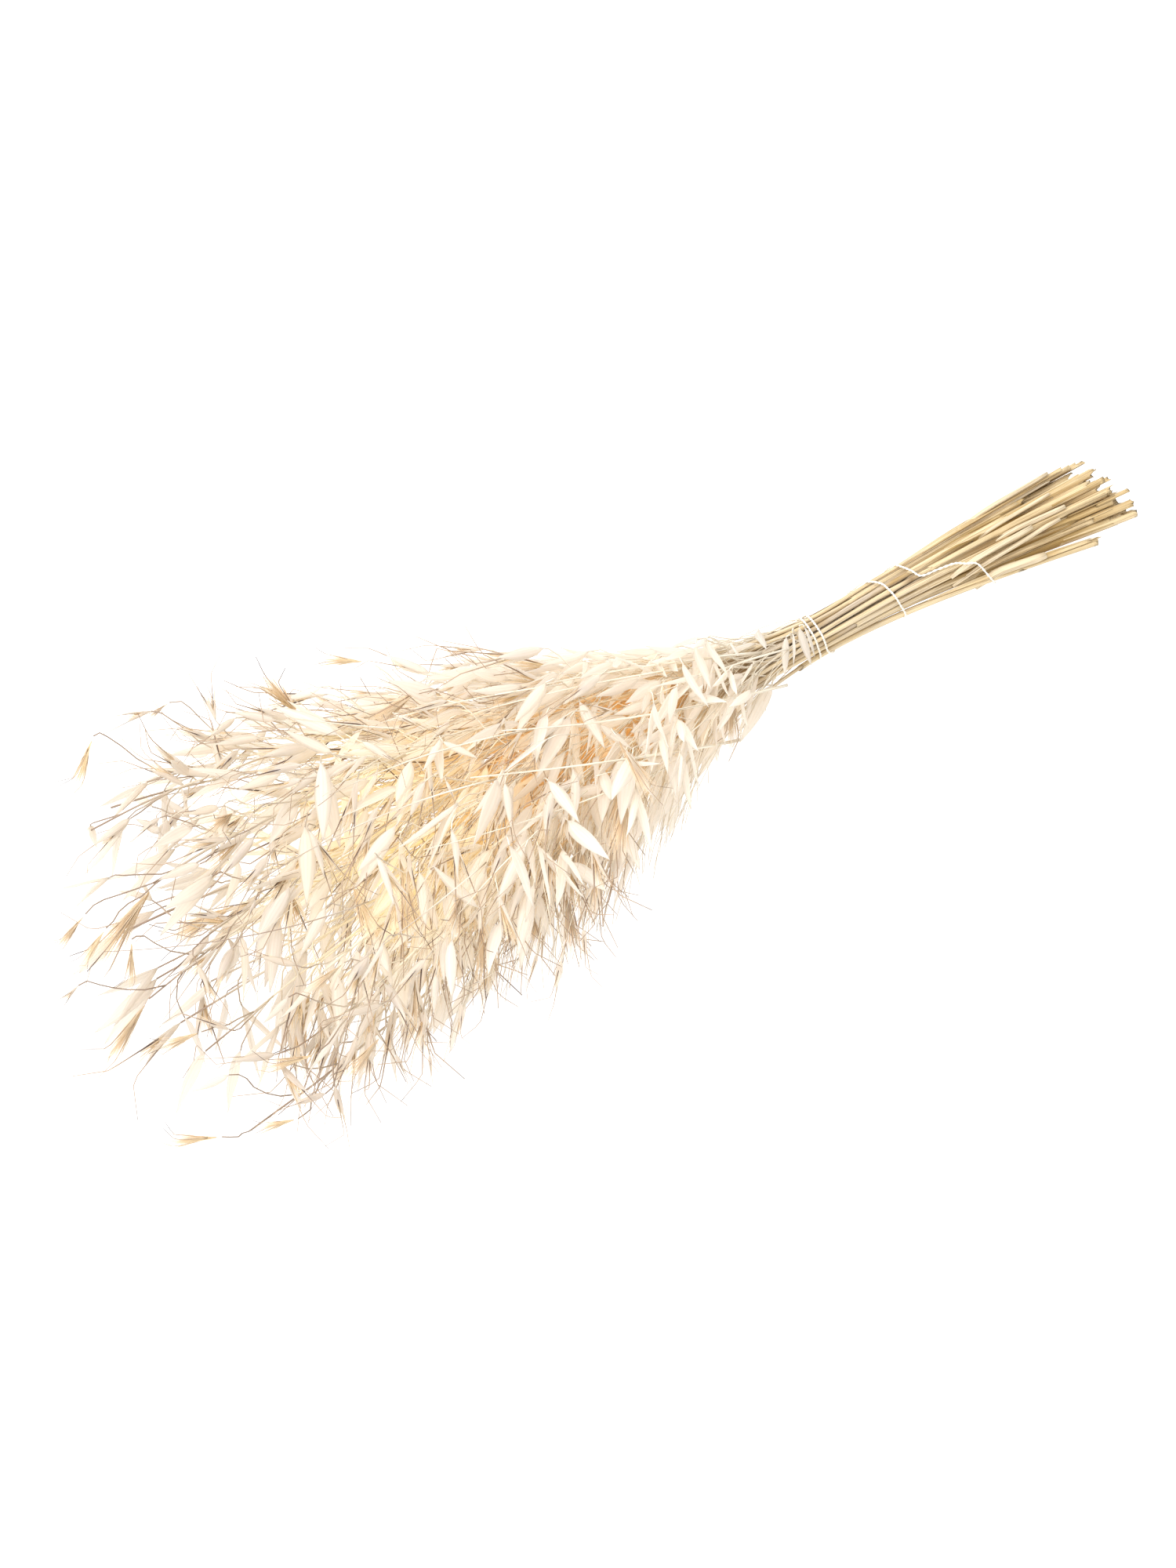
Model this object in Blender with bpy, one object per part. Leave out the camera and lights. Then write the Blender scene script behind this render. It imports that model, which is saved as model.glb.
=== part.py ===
# A bundle of bleached dried oats, lying on a table.
#
# Thirty-eight stalks lie side by side. From their cut ends, at +X, they run
# through a narrow tied neck, and past it, towards -X, each stalk's thin upper
# part fans out and carries its hanging spikelets. A thin thread is wound
# round the stems from the neck towards the cut ends. Each stalk grew as one
# piece, so it is one solid: stem, branches and spikelets.
#
# Lengths are in metres. "run" is the distance from the neck along the bundle,
# positive towards the heads and negative towards the cut ends.

import math
import random

import bmesh
import bpy
import numpy as np
from mathutils import Vector

MM = 0.001

# The bundle.
STALKS = 38
SEED = 15
# The middle of the bundle's outline on the table, measured from the neck.
MIDDLE = Vector((-0.1221, -0.0109, 0.0))

# By run: half the stems' spread in Y and in Z, and the middle of them, Y and Z.
SHAPE = (
    (-0.180, 21 * MM, 11.0 * MM, 8 * MM, 14 * MM),
    (-0.105, 14 * MM, 10.0 * MM, 9 * MM, 19 * MM),
    (-0.045, 9.0 * MM, 8.5 * MM, 6 * MM, 25 * MM),
    (0.000, 7.6 * MM, 7.6 * MM, 1 * MM, 29 * MM),
    (0.045, 12 * MM, 12 * MM, -1 * MM, 35 * MM),
    (0.100, 25 * MM, 20 * MM, -4 * MM, 43 * MM),
    (0.165, 46 * MM, 30 * MM, -8 * MM, 51 * MM),
    (0.235, 73 * MM, 34 * MM, -6 * MM, 51 * MM),
    (0.310, 98 * MM, 30 * MM, -6 * MM, 44 * MM),
    (0.385, 110 * MM, 20 * MM, -12 * MM, 33 * MM),
)
RUNS, HALF_WIDTHS, HALF_HEIGHTS, MIDDLE_YS, MIDDLE_ZS = (
    np.array(column) for column in zip(*SHAPE)
)
TWIST_AT_CUT = math.radians(-38)
TWIST_AT_HEAD = math.radians(24)
STRAY_AT_CUT = 2.4 * MM
STRAY_AT_HEAD = 13 * MM

# One stalk.
CUT_RUN = -0.180
CUT_SLANT = 0.012
CUT_RAGGEDNESS = 0.006
SHORT_STALK_EVERY = 5
SHORTEST_CUT = 0.050
TIP_RUNS = (0.185, 0.385)
TIP_ROUNDING = 0.035
BUTT_RADII = (1.35 * MM, 1.95 * MM)
THICKNESS_BY_RUN = ((-0.180, 1.0), (0.0, 0.68), (0.10, 0.52), (0.385, 0.29))
STEM_GAP = 0.40 * MM
TABLE_GAP = 0.1 * MM

# Side branches, each with one spikelet at its end.
FIRST_BRANCH_RUN = 0.030
BRANCH_SHARES = (0.22, 0.52, 0.82)
BRANCH_LENGTHS = (22 * MM, 52 * MM)
BRANCH_RADIUS = 0.45 * MM
SPIKELET_LENGTHS = (46 * MM, 60 * MM)
SPIKELET_RADII = (2.6 * MM, 3.5 * MM)
BELLY_SHARE = 0.30
TIP_RADIUS = 0.25 * MM
HIGHEST_SPIKELET = 0.112
BRANCH_TRIES = 80
# The owner that marks a piece every other branch keeps away from.
BRANCH = -1
BRANCH_GAP = 0.6 * MM
# Spikelets hang to the -Y side and down, less so at the bundle's +Y side.
HANG = Vector((0.0, -0.50, -0.30))
HANG_AT_FAR_SIDE = 0.3
# The outline of the heads, seen from 65 degrees above the table and 28 degrees
# round from the -Y side: at each distance along the bundle, how far they reach
# to its -Y and to its +Y side. Two vectors give those distances of a point.
SEEN_ALONG = Vector((-0.979, 0.0765, -0.185))
SEEN_ASIDE = Vector((0.0, 0.925, 0.380))
NECK = Vector((0.0, 0.0, 29 * MM))
OUTLINE = (
    (0.012, -16 * MM, 15 * MM),
    (0.039, -26 * MM, 21 * MM),
    (0.077, -44 * MM, 30 * MM),
    (0.100, -58 * MM, 41 * MM),
    (0.131, -77 * MM, 58 * MM),
    (0.168, -94 * MM, 77 * MM),
    (0.214, -95 * MM, 94 * MM),
    (0.258, -109 * MM, 104 * MM),
    (0.302, -114 * MM, 111 * MM),
    (0.339, -102 * MM, 102 * MM),
    (0.368, -94 * MM, 60 * MM),
    (0.394, -91 * MM, 32 * MM),
    (0.418, -40 * MM, 4 * MM),
)

# The thread: (turn, run) where its pitch changes. Whole turns are at the +Y
# side, and it goes from there over the top.
THREAD_WINDING = (
    (0.05, 0.0020),
    (0.50, 0.0005),
    (1.05, -0.0015),
    (1.50, -0.0040),
    (2.05, -0.0330),
    (2.22, -0.0440),
    (2.50, -0.0495),
    (3.05, -0.0530),
    (3.31, -0.0640),
    (3.33, -0.0820),
    (3.38, -0.0930),
    (3.54, -0.1010),
    (3.95, -0.1040),
)
THREAD_RADIUS = 0.5 * MM
THREAD_GAP = 0.45 * MM
THREAD_STEPS_PER_TURN = 12
THREAD_STEP = 10 * MM

STRAW_PALE = (0.86, 0.74, 0.55)
STRAW_GOLDEN = (0.66, 0.52, 0.30)
THREAD_WHITE = (0.90, 0.86, 0.76)


def clear_scene():
    for old in list(bpy.data.objects):
        bpy.data.objects.remove(old)


def collection(name):
    made = bpy.data.collections.new(name)
    bpy.context.scene.collection.children.link(made)
    return made


def material(name, colour, roughness):
    made = bpy.data.materials.new(name)
    made.use_nodes = True
    shader = made.node_tree.nodes["Principled BSDF"]
    shader.inputs["Base Color"].default_value = (*colour, 1.0)
    shader.inputs["Roughness"].default_value = roughness
    return made


def mixed(low, high, share):
    return low + (high - low) * share


# Where the stems run.


def seats():
    """Places in a unit disc, one a stalk, packed like cells of a honeycomb."""
    cells = []
    for row in range(-5, 6):
        for step in range(-5, 6):
            across = step + row / 2
            up = row * math.sqrt(3) / 2
            cells.append((math.hypot(across + 0.08, up + 0.03), across, up))
    nearest = sorted(cells)[:STALKS]
    widest = nearest[-1][0]
    return np.array([(across / widest, up / widest) for _, across, up in nearest])


def stem_radii(butts, runs):
    known, shares = zip(*THICKNESS_BY_RUN)
    return butts[:, None] * np.interp(runs, known, shares)[None, :]


def wanted_places(rng):
    """Where each stem would like to be at each run, before stems push apart."""
    unit = seats()
    stray = np.round(rng.normal(size=(STALKS, 2)).clip(-1.8, 1.8), 6)
    places = np.zeros((STALKS, len(RUNS), 2))
    for s, run in enumerate(RUNS):
        if run < 0:
            share = run / RUNS[0]
            twist = TWIST_AT_CUT * share
            amount = STRAY_AT_CUT * share
        else:
            share = run / RUNS[-1]
            twist = TWIST_AT_HEAD * share
            amount = STRAY_AT_HEAD * share
        turned_y = unit[:, 0] * math.cos(twist) - unit[:, 1] * math.sin(twist)
        turned_z = unit[:, 0] * math.sin(twist) + unit[:, 1] * math.cos(twist)
        places[:, s, 0] = (
            MIDDLE_YS[s] + turned_y * HALF_WIDTHS[s] + stray[:, 0] * amount
        )
        places[:, s, 1] = (
            MIDDLE_ZS[s] + turned_z * HALF_HEIGHTS[s] + stray[:, 1] * amount * 0.5
        )
    return places


def push_apart(places, radii, strength):
    """Moves stems that are too near each other apart, at each run and between."""
    for part in (0.0, 0.25, 0.5, 0.75):
        near, far = places[:, :-1], places[:, 1:]
        middle = mixed(near, far, part)
        radius = mixed(radii[:, :-1], radii[:, 1:], part)
        between = middle[:, None] - middle[None, :]
        distance = np.sqrt(between[..., 0] ** 2 + between[..., 1] ** 2)
        steps = (far - near) / np.diff(RUNS)[None, :, None]
        lean = np.sqrt(1 + steps[..., 0] ** 2 + steps[..., 1] ** 2)
        widened = radius * lean
        short = widened[:, None] + widened[None, :] + STEM_GAP - distance
        short = short.clip(0.0, None)
        for stalk in range(STALKS):
            short[stalk, stalk] = 0.0
        away = between / distance[..., None].clip(1e-6, None)
        move = (away * short[..., None]).sum(axis=1) * strength
        places[:, :-1] += move * (1 - part)
        places[:, 1:] += move * part


def rest_on_table(places, radii):
    places[..., 1] = np.maximum(places[..., 1], radii + TABLE_GAP)


def lay_stems():
    """(places, radii) of the stems: Y and Z at each run, and the radius there."""
    rng = np.random.default_rng(SEED)
    butts = np.round(rng.uniform(*BUTT_RADII, STALKS), 6)
    radii = stem_radii(butts, RUNS)
    wanted = wanted_places(rng)
    places = wanted.copy()
    for _ in range(220):
        places += (wanted - places) * 0.05
        bent = (places[:, :-2] + places[:, 2:]) / 2 - places[:, 1:-1]
        places[:, 1:-1] += bent * 0.04
        push_apart(places, radii, 0.32)
        rest_on_table(places, radii)
    for _ in range(260):
        push_apart(places, radii, 0.36)
        rest_on_table(places, radii)
    return np.round(places, 6), radii


def stem_point(places, stalk, run):
    y = np.interp(run, RUNS, places[stalk, :, 0])
    z = np.interp(run, RUNS, places[stalk, :, 1])
    return Vector((-run, y, z))


def middle_of_bundle(run):
    y = np.interp(run, RUNS, MIDDLE_YS)
    return Vector((-run, y, np.interp(run, RUNS, MIDDLE_ZS)))


def stem_direction(places, stalk, run):
    ahead = stem_point(places, stalk, run + 0.01) - stem_point(
        places, stalk, run - 0.01
    )
    return ahead.normalized()


def stalk_ends(places):
    """(cut run, tip run) of each stalk. The cut slants, and every fifth is shorter."""
    draw = random.Random(SEED)
    ends = []
    for stalk in range(STALKS):
        side = (places[stalk, 0, 0] - MIDDLE_YS[0]) / HALF_WIDTHS[0]
        trim = CUT_SLANT * (1 + side) / 2 + draw.uniform(0.0, CUT_RAGGEDNESS)
        if stalk % SHORT_STALK_EVERY == 2:
            trim = draw.uniform(0.4, 1.0) * SHORTEST_CUT
        aside = (places[stalk, -1, 0] - MIDDLE_YS[-1]) / HALF_WIDTHS[-1]
        rounding = TIP_ROUNDING * max(0.0, aside) ** 2
        tip = mixed(*TIP_RUNS, draw.random() ** 0.8) - rounding
        ends.append((round(CUT_RUN + trim, 5), round(tip, 5)))
    return ends


# Branches and spikelets.


def spikelet_path(base, direction, length, belly):
    """(point, radius) from a spikelet's base over its belly to its awns' tips."""
    return [
        (base, BRANCH_RADIUS),
        (base + direction * length * BELLY_SHARE, belly),
        (base + direction * length, TIP_RADIUS),
    ]


def above_table(path):
    lifted = []
    for point, radius in path:
        lowest = radius + TABLE_GAP
        lifted.append((Vector((point.x, point.y, max(point.z, lowest))), radius))
    return lifted


def unit_noise(draw):
    return Vector([draw.uniform(-1, 1) for _ in range(3)])


def sampled(path, step=4 * MM):
    """Points with radii at close steps along a path."""
    points = []
    for (start, r_start), (end, r_end) in zip(path, path[1:]):
        pieces = max(1, round((end - start).length / step))
        for i in range(pieces + 1):
            share = i / pieces
            points.append((*start.lerp(end, share), mixed(r_start, r_end, share)))
    return np.array(points)


def clearance(points, segments):
    """The least gap between sampled points and the segments of other pieces."""
    start, end = segments[:, 0:3], segments[:, 4:7]
    along = end - start
    length_squared = (along**2).sum(axis=1)
    to_point = points[:, None, :3] - start[None]
    share = (to_point * along[None]).sum(axis=2) / length_squared[None]
    share = share.clip(0.0, 1.0)
    nearest = start[None] + along[None] * share[..., None]
    distance = np.sqrt(((points[:, None, :3] - nearest) ** 2).sum(axis=2))
    radius = mixed(segments[None, :, 3], segments[None, :, 7], share)
    return (distance - radius - points[:, None, 3]).min()


def segments_of(path):
    return [(*a, ra, *b, rb) for (a, ra), (b, rb) in zip(path, path[1:])]


def hang_at(point):
    run = -point.x
    width = np.interp(run, RUNS, HALF_WIDTHS)
    aside = float((point.y - np.interp(run, RUNS, MIDDLE_YS)) / width)
    return HANG * mixed(1.0, HANG_AT_FAR_SIDE, min(1.0, max(0.0, aside)))


def branch_path(places, stalk, run, draw):
    """One try at a side branch with its spikelet, rooted on the stem's line."""
    root = stem_point(places, stalk, run)
    ahead = stem_direction(places, stalk, run)
    side = (root - middle_of_bundle(run)).normalized() * 0.8 + unit_noise(draw)
    side = (side - ahead * side.dot(ahead)).normalized()
    spread = math.radians(draw.uniform(18, 48))
    leaving = ahead * math.cos(spread) + side * math.sin(spread)
    base = root + leaving * draw.uniform(*BRANCH_LENGTHS)
    hanging = leaving * 0.8 + hang_at(base) + unit_noise(draw) * 0.25
    length = draw.uniform(*SPIKELET_LENGTHS)
    belly = draw.uniform(*SPIKELET_RADII)
    spikelet = spikelet_path(base, hanging.normalized(), length, belly)
    return above_table([(root, BRANCH_RADIUS), *spikelet])


def stem_path(places, radii, stalk, cut, tip):
    """The stem from its cut end to its tip, without the spikelet there."""
    runs = [cut, *(run for run in RUNS if cut + 0.01 < run < tip - 0.005), tip]
    path = []
    for run in runs:
        radius = float(np.interp(run, RUNS, radii[stalk]))
        path.append((stem_point(places, stalk, run), radius))
    return path


def tip_path(places, stem, stalk, tip, tries, draw):
    """One try at the spikelet that ends a stem, wilder and shorter by the try."""
    ahead = stem_direction(places, stalk, tip - 0.012)
    stray = mixed(0.15, 0.6, tries / BRANCH_TRIES)
    end, radius = stem[-1]
    hanging = (ahead + hang_at(end) * 0.6 + unit_noise(draw) * stray).normalized()
    shorter = mixed(1.0, 0.6, tries / BRANCH_TRIES)
    length = draw.uniform(*SPIKELET_LENGTHS) * shorter
    spikelet = spikelet_path(end, hanging, length, draw.uniform(*SPIKELET_RADII))
    return above_table([(end, radius), *spikelet[1:]])


def in_reach(path):
    """Whether a branch keeps within the outline of the heads."""
    stops, lows, highs = zip(*OUTLINE)
    for point, _ in path[1:]:
        along = (point - NECK).dot(SEEN_ALONG)
        aside = (point - NECK).dot(SEEN_ASIDE)
        low = np.interp(along, stops, lows)
        high = np.interp(along, stops, highs)
        if not low <= aside <= high or along > stops[-1]:
            return False
    return max(point.z for point, _ in path) <= HIGHEST_SPIKELET


def is_free(path, taken, stalk):
    """Whether a branch keeps its gap to all but the stem that it grows from."""
    others = [segment for owner, segment in taken if owner != stalk]
    return clearance(sampled(path)[1:], np.array(others)) > BRANCH_GAP


def grow_stalks():
    """[(stem path, [branch paths])], one a stalk, with no two pieces touching."""
    places, radii = lay_stems()
    ends = stalk_ends(places)
    stems = []
    taken = []
    for stalk, (cut, tip) in enumerate(ends):
        stem = stem_path(places, radii, stalk, cut, tip)
        stems.append(stem)
        taken.extend((stalk, segment) for segment in segments_of(stem))
    for stalk, (_, tip) in enumerate(ends):
        draw = random.Random(SEED * 1000 + stalk)
        for tries in range(BRANCH_TRIES):
            path = tip_path(places, stems[stalk], stalk, tip, tries, draw)
            if in_reach(path) and is_free(path, taken, stalk):
                stems[stalk] = stems[stalk][:-1] + path
                taken.extend((BRANCH, segment) for segment in segments_of(path)[1:])
                taken.append((stalk, segments_of(path)[0]))
                break
    branches = [[] for _ in stems]
    for share in BRANCH_SHARES:
        for stalk, (_, tip) in enumerate(ends):
            draw = random.Random(round((SEED + share) * 100000) + stalk)
            for _ in range(BRANCH_TRIES):
                at = share + draw.uniform(-0.1, 0.1)
                run = mixed(FIRST_BRANCH_RUN, tip - 0.01, at)
                path = branch_path(places, stalk, run, draw)
                if in_reach(path) and is_free(path, taken, stalk):
                    branches[stalk].append(path)
                    taken.extend((BRANCH, segment) for segment in segments_of(path))
                    break
    return list(zip(stems, branches)), places, radii


# Solids.


def tubes(name, paths, bevel_resolution):
    """A mesh of closed tubes, one along each path of (point, radius)."""
    curve = bpy.data.curves.new(name, "CURVE")
    curve.dimensions = "3D"
    curve.bevel_depth = 1.0
    curve.bevel_resolution = bevel_resolution
    curve.use_fill_caps = True
    for path in paths:
        spline = curve.splines.new("POLY")
        spline.points.add(len(path) - 1)
        for point, (place, radius) in zip(spline.points, path):
            point.co = (*(place - MIDDLE), 1.0)
            point.radius = radius
    line = bpy.data.objects.new(name + "_line", curve)
    bpy.context.scene.collection.objects.link(line)
    graph = bpy.context.evaluated_depsgraph_get()
    mesh = bpy.data.meshes.new_from_object(line.evaluated_get(graph))
    bpy.data.objects.remove(line)
    closed = bmesh.new()
    closed.from_mesh(mesh)
    bmesh.ops.remove_doubles(closed, verts=closed.verts, dist=0.00001)
    bmesh.ops.recalc_face_normals(closed, faces=closed.faces)
    closed.to_mesh(mesh)
    closed.free()
    mesh.name = name
    mesh.shade_smooth()
    mesh.set_sharp_from_angle(angle=math.radians(62))
    return mesh


def make_stalk(number, stem, branches, parts, guides):
    name = f"oat_stalk_{number:02d}"
    stalk = bpy.data.objects.new(name, tubes(name, [stem], 1))
    parts.objects.link(stalk)
    share = (number * 7 % STALKS) / STALKS
    colour = [mixed(p, g, share) for p, g in zip(STRAW_PALE, STRAW_GOLDEN)]
    stalk.data.materials.append(material(f"straw_{number:02d}", colour, 0.6))
    if not branches:
        return
    spikelets = bpy.data.objects.new(
        f"branches_{number:02d}", tubes(f"branches_{number:02d}", branches, 0)
    )
    guides.objects.link(spikelets)
    spikelets.hide_render = True
    spikelets.display_type = "WIRE"
    spikelets.data.materials.append(stalk.data.materials[0])
    union = stalk.modifiers.new("branches", "BOOLEAN")
    union.operation = "UNION"
    union.solver = "EXACT"
    union.object = spikelets


def thread_path(places, radii):
    """The thread's line: outside the stems' outline at every angle."""
    stops = [THREAD_WINDING[0]]
    for (turn, run), (next_turn, next_run) in zip(THREAD_WINDING, THREAD_WINDING[1:]):
        turning = (next_turn - turn) * THREAD_STEPS_PER_TURN
        steps = math.ceil(max(turning, abs(next_run - run) / THREAD_STEP))
        for step in range(1, steps + 1):
            share = step / steps
            stops.append((mixed(turn, next_turn, share), mixed(run, next_run, share)))
    path = []
    for turn, run in stops:
        angle = math.tau * turn
        outward = Vector((0.0, math.cos(angle), math.sin(angle)))
        middle = middle_of_bundle(run)
        reach = 0.0
        for stalk in range(STALKS):
            radius = float(np.interp(run, RUNS, radii[stalk]))
            out = (stem_point(places, stalk, run) - middle).dot(outward)
            reach = max(reach, out + radius)
        reach = reach / math.cos(math.pi / THREAD_STEPS_PER_TURN)
        place = middle + outward * (reach + THREAD_RADIUS + THREAD_GAP)
        path.append((place, THREAD_RADIUS))
    return above_table(path)


def make_thread(places, radii, parts):
    thread = bpy.data.objects.new(
        "binding_thread", tubes("binding_thread", [thread_path(places, radii)], 0)
    )
    parts.objects.link(thread)
    thread.data.materials.append(material("thread", THREAD_WHITE, 0.8))


def main():
    clear_scene()
    parts = collection("dried_oat_bundle")
    guides = collection("guides")
    stalks, places, radii = grow_stalks()
    for number, (stem, branches) in enumerate(stalks, start=1):
        make_stalk(number, stem, branches, parts, guides)
    make_thread(places, radii, parts)


main()
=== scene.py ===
import math
import random

import bmesh
import bpy
import numpy as np
from mathutils import Matrix, Vector


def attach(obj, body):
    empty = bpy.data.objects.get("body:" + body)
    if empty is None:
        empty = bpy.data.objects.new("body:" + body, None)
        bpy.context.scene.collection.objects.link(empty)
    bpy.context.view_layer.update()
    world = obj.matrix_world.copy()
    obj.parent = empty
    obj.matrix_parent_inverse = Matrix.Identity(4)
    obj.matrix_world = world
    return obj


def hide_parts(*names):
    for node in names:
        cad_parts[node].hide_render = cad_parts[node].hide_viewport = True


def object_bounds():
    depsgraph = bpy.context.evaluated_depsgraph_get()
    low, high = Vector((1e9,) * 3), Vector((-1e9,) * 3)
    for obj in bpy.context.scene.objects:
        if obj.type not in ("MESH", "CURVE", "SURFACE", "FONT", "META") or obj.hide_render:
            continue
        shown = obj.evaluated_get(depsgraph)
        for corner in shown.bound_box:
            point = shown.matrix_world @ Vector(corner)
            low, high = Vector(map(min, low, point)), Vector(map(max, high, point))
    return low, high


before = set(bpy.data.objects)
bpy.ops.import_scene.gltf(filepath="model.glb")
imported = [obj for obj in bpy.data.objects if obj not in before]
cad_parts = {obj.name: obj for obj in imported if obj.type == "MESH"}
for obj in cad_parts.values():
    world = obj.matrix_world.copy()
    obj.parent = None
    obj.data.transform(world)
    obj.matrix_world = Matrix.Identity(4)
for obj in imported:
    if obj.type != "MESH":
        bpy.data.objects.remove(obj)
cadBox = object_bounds()
print("frame loaded:", len(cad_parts), "nodes")

mm = 0.001

# The bundle as it is built: "run" is the distance from the neck towards the
# heads, negative towards the cut ends, and the neck lies along X.
bundle = {
    "stalks": 38,
    "seed": 15,
    "middle": Vector((-0.1221, -0.0109, 0.0)),
    # by run: half the stems' spread in Y and in Z, and their middle, Y and Z
    "shape": (
        (-0.180, 21 * mm, 11.0 * mm, 8 * mm, 14 * mm),
        (-0.105, 14 * mm, 10.0 * mm, 9 * mm, 19 * mm),
        (-0.045, 9.0 * mm, 8.5 * mm, 6 * mm, 25 * mm),
        (0.000, 7.6 * mm, 7.6 * mm, 1 * mm, 29 * mm),
        (0.045, 12 * mm, 12 * mm, -1 * mm, 35 * mm),
        (0.100, 25 * mm, 20 * mm, -4 * mm, 43 * mm),
        (0.165, 46 * mm, 30 * mm, -8 * mm, 51 * mm),
        (0.235, 73 * mm, 34 * mm, -6 * mm, 51 * mm),
        (0.310, 98 * mm, 30 * mm, -6 * mm, 44 * mm),
        (0.385, 110 * mm, 20 * mm, -12 * mm, 33 * mm),
    ),
    "neck": Vector((0.0, 0.0, 29 * mm)),
    "twistAtCut": math.radians(-38),
    "twistAtHead": math.radians(24),
    "strayAtCut": 2.4 * mm,
    "strayAtHead": 13 * mm,
    "mostStray": 1.8,
    "strayUpShare": 0.5,
    "seatShift": (0.08, 0.03),  # so that no two seats are equally far out
    "stemGap": 0.40 * mm,
    "tableGap": 0.1 * mm,
    # how the stems settle: rounds, pull to their places, straightening, push
    "settling": (220, 0.05, 0.04, 0.32),
    "parting": (260, 0.36),
    # the outline of the heads as seen from the camera's side: how far they
    # reach to the -Y and the +Y side, by the distance along the bundle
    "outline": (
        (0.012, -16 * mm, 15 * mm),
        (0.039, -26 * mm, 21 * mm),
        (0.077, -44 * mm, 30 * mm),
        (0.100, -58 * mm, 41 * mm),
        (0.131, -77 * mm, 58 * mm),
        (0.168, -94 * mm, 77 * mm),
        (0.214, -95 * mm, 94 * mm),
        (0.258, -109 * mm, 104 * mm),
        (0.302, -114 * mm, 111 * mm),
        (0.339, -102 * mm, 102 * mm),
        (0.368, -94 * mm, 60 * mm),
        (0.394, -91 * mm, 32 * mm),
        (0.418, -40 * mm, 4 * mm),
    ),
    "seenAlong": Vector((-0.979, 0.0765, -0.185)),
    "seenAside": Vector((0.0, 0.925, 0.380)),
    "highest": 0.112,
    "overFrom": 0.24,
}
runs, halfWidths, halfHeights, middleYs, middleZs = (
    np.array(column) for column in zip(*bundle["shape"])
)

stalk = {
    "cutRun": -0.180,
    "cutSlant": 0.012,
    "cutRaggedness": 0.006,
    "shortEvery": 5,
    "shortestCut": 0.050,
    "shortShares": (0.4, 1.0),
    "tipRuns": (0.185, 0.385),
    "tipCrowding": 0.8,
    "tipRounding": 0.035,
    "buttRadii": (1.35 * mm, 1.95 * mm),
    "thickness": ((-0.180, 1.0), (0.0, 0.68), (0.10, 0.52), (0.385, 0.29)),
    "branchRadius": 0.45 * mm,
    "bellyShare": 0.30,
    "tipRadius": 0.25 * mm,
    "tipHang": 0.6,
    # from the first try to the last: how far a tip strays, and its length
    "tipStrays": (0.15, 0.6),
    "tipSizes": (1.0, 0.6),
    "tries": 80,
    "branchGap": 0.6 * mm,
    "hang": Vector((0.0, -0.50, -0.30)),
    "hangAtFarSide": 0.3,
}
# the side branches that the solids have too
branch = {
    "firstRun": 0.030,
    "shares": (0.22, 0.52, 0.82),
    "shareShift": 0.1,
    "outward": 0.8,
    "sideStray": 1.0,
    "spread": (18, 48),
    "lengths": (22 * mm, 52 * mm),
    "ahead": 0.8,
    "stray": 0.25,
    "spikeletLengths": (46 * mm, 60 * mm),
    "belly": (2.6 * mm, 3.5 * mm),
    "rootRadius": 0.45 * mm,
}
studio = {
    "floorSize": 6.0,
    "floorColour": (0.38, 0.38, 0.38),
    "floorGlow": 0.88,
    "skyStrength": 1.05,
    "lampSize": 1.6,
    "lampPower": 32.0,
    "lampPlace": Vector((-0.75, 0.55, 1.5)),
    "azimuth": math.radians(-28.3),
    "elevation": math.radians(65.0),
    "distance": 2.2,
    "metresPerPixel": 0.000389,
    "sensorWidth": 36.0,
    "imageSize": (1500, 2000),
    "neckPixel": (1035, 815),
}


def cameraAxes():
    a, e = studio["azimuth"], studio["elevation"]
    back = Vector((math.sin(a) * math.cos(e), -math.cos(a) * math.cos(e), math.sin(e)))
    right = Vector((math.cos(a), math.sin(a), 0.0))
    return back, right, back.cross(right)


def photoPlane(x, y):
    # The point behind a pixel, as far from the camera as the neck is.
    _, right, up = cameraAxes()
    neckX, neckY = studio["neckPixel"]
    scale = studio["metresPerPixel"]
    return bundle["neck"] + right * (x - neckX) * scale + up * (neckY - y) * scale


def cameraPlace():
    wide, high = studio["imageSize"]
    return photoPlane(wide / 2, high / 2) + cameraAxes()[0] * studio["distance"]


anyOwner = -1  # marks a piece that every other branch keeps away from


def mixed(low, high, share):
    return low + (high - low) * share


# Where the stems run, as the solids have it.


def seats():
    cells = []
    aside, above = bundle["seatShift"]
    for row in range(-5, 6):
        for step in range(-5, 6):
            across = step + row / 2
            up = row * math.sqrt(3) / 2
            cells.append((math.hypot(across + aside, up + above), across, up))
    nearest = sorted(cells)[: bundle["stalks"]]
    widest = nearest[-1][0]
    return np.array([(across / widest, up / widest) for _, across, up in nearest])


def wantedPlaces(rng):
    unit = seats()
    count = bundle["stalks"]
    most = bundle["mostStray"]
    stray = np.round(rng.normal(size=(count, 2)).clip(-most, most), 6)
    places = np.zeros((count, len(runs), 2))
    for s, run in enumerate(runs):
        end = 0 if run < 0 else -1
        share = run / runs[end]
        twist = bundle["twistAtCut" if run < 0 else "twistAtHead"] * share
        amount = bundle["strayAtCut" if run < 0 else "strayAtHead"] * share
        turnedY = unit[:, 0] * math.cos(twist) - unit[:, 1] * math.sin(twist)
        turnedZ = unit[:, 0] * math.sin(twist) + unit[:, 1] * math.cos(twist)
        strayUp = stray[:, 1] * amount * bundle["strayUpShare"]
        places[:, s, 0] = middleYs[s] + turnedY * halfWidths[s] + stray[:, 0] * amount
        places[:, s, 1] = middleZs[s] + turnedZ * halfHeights[s] + strayUp
    return places


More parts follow.
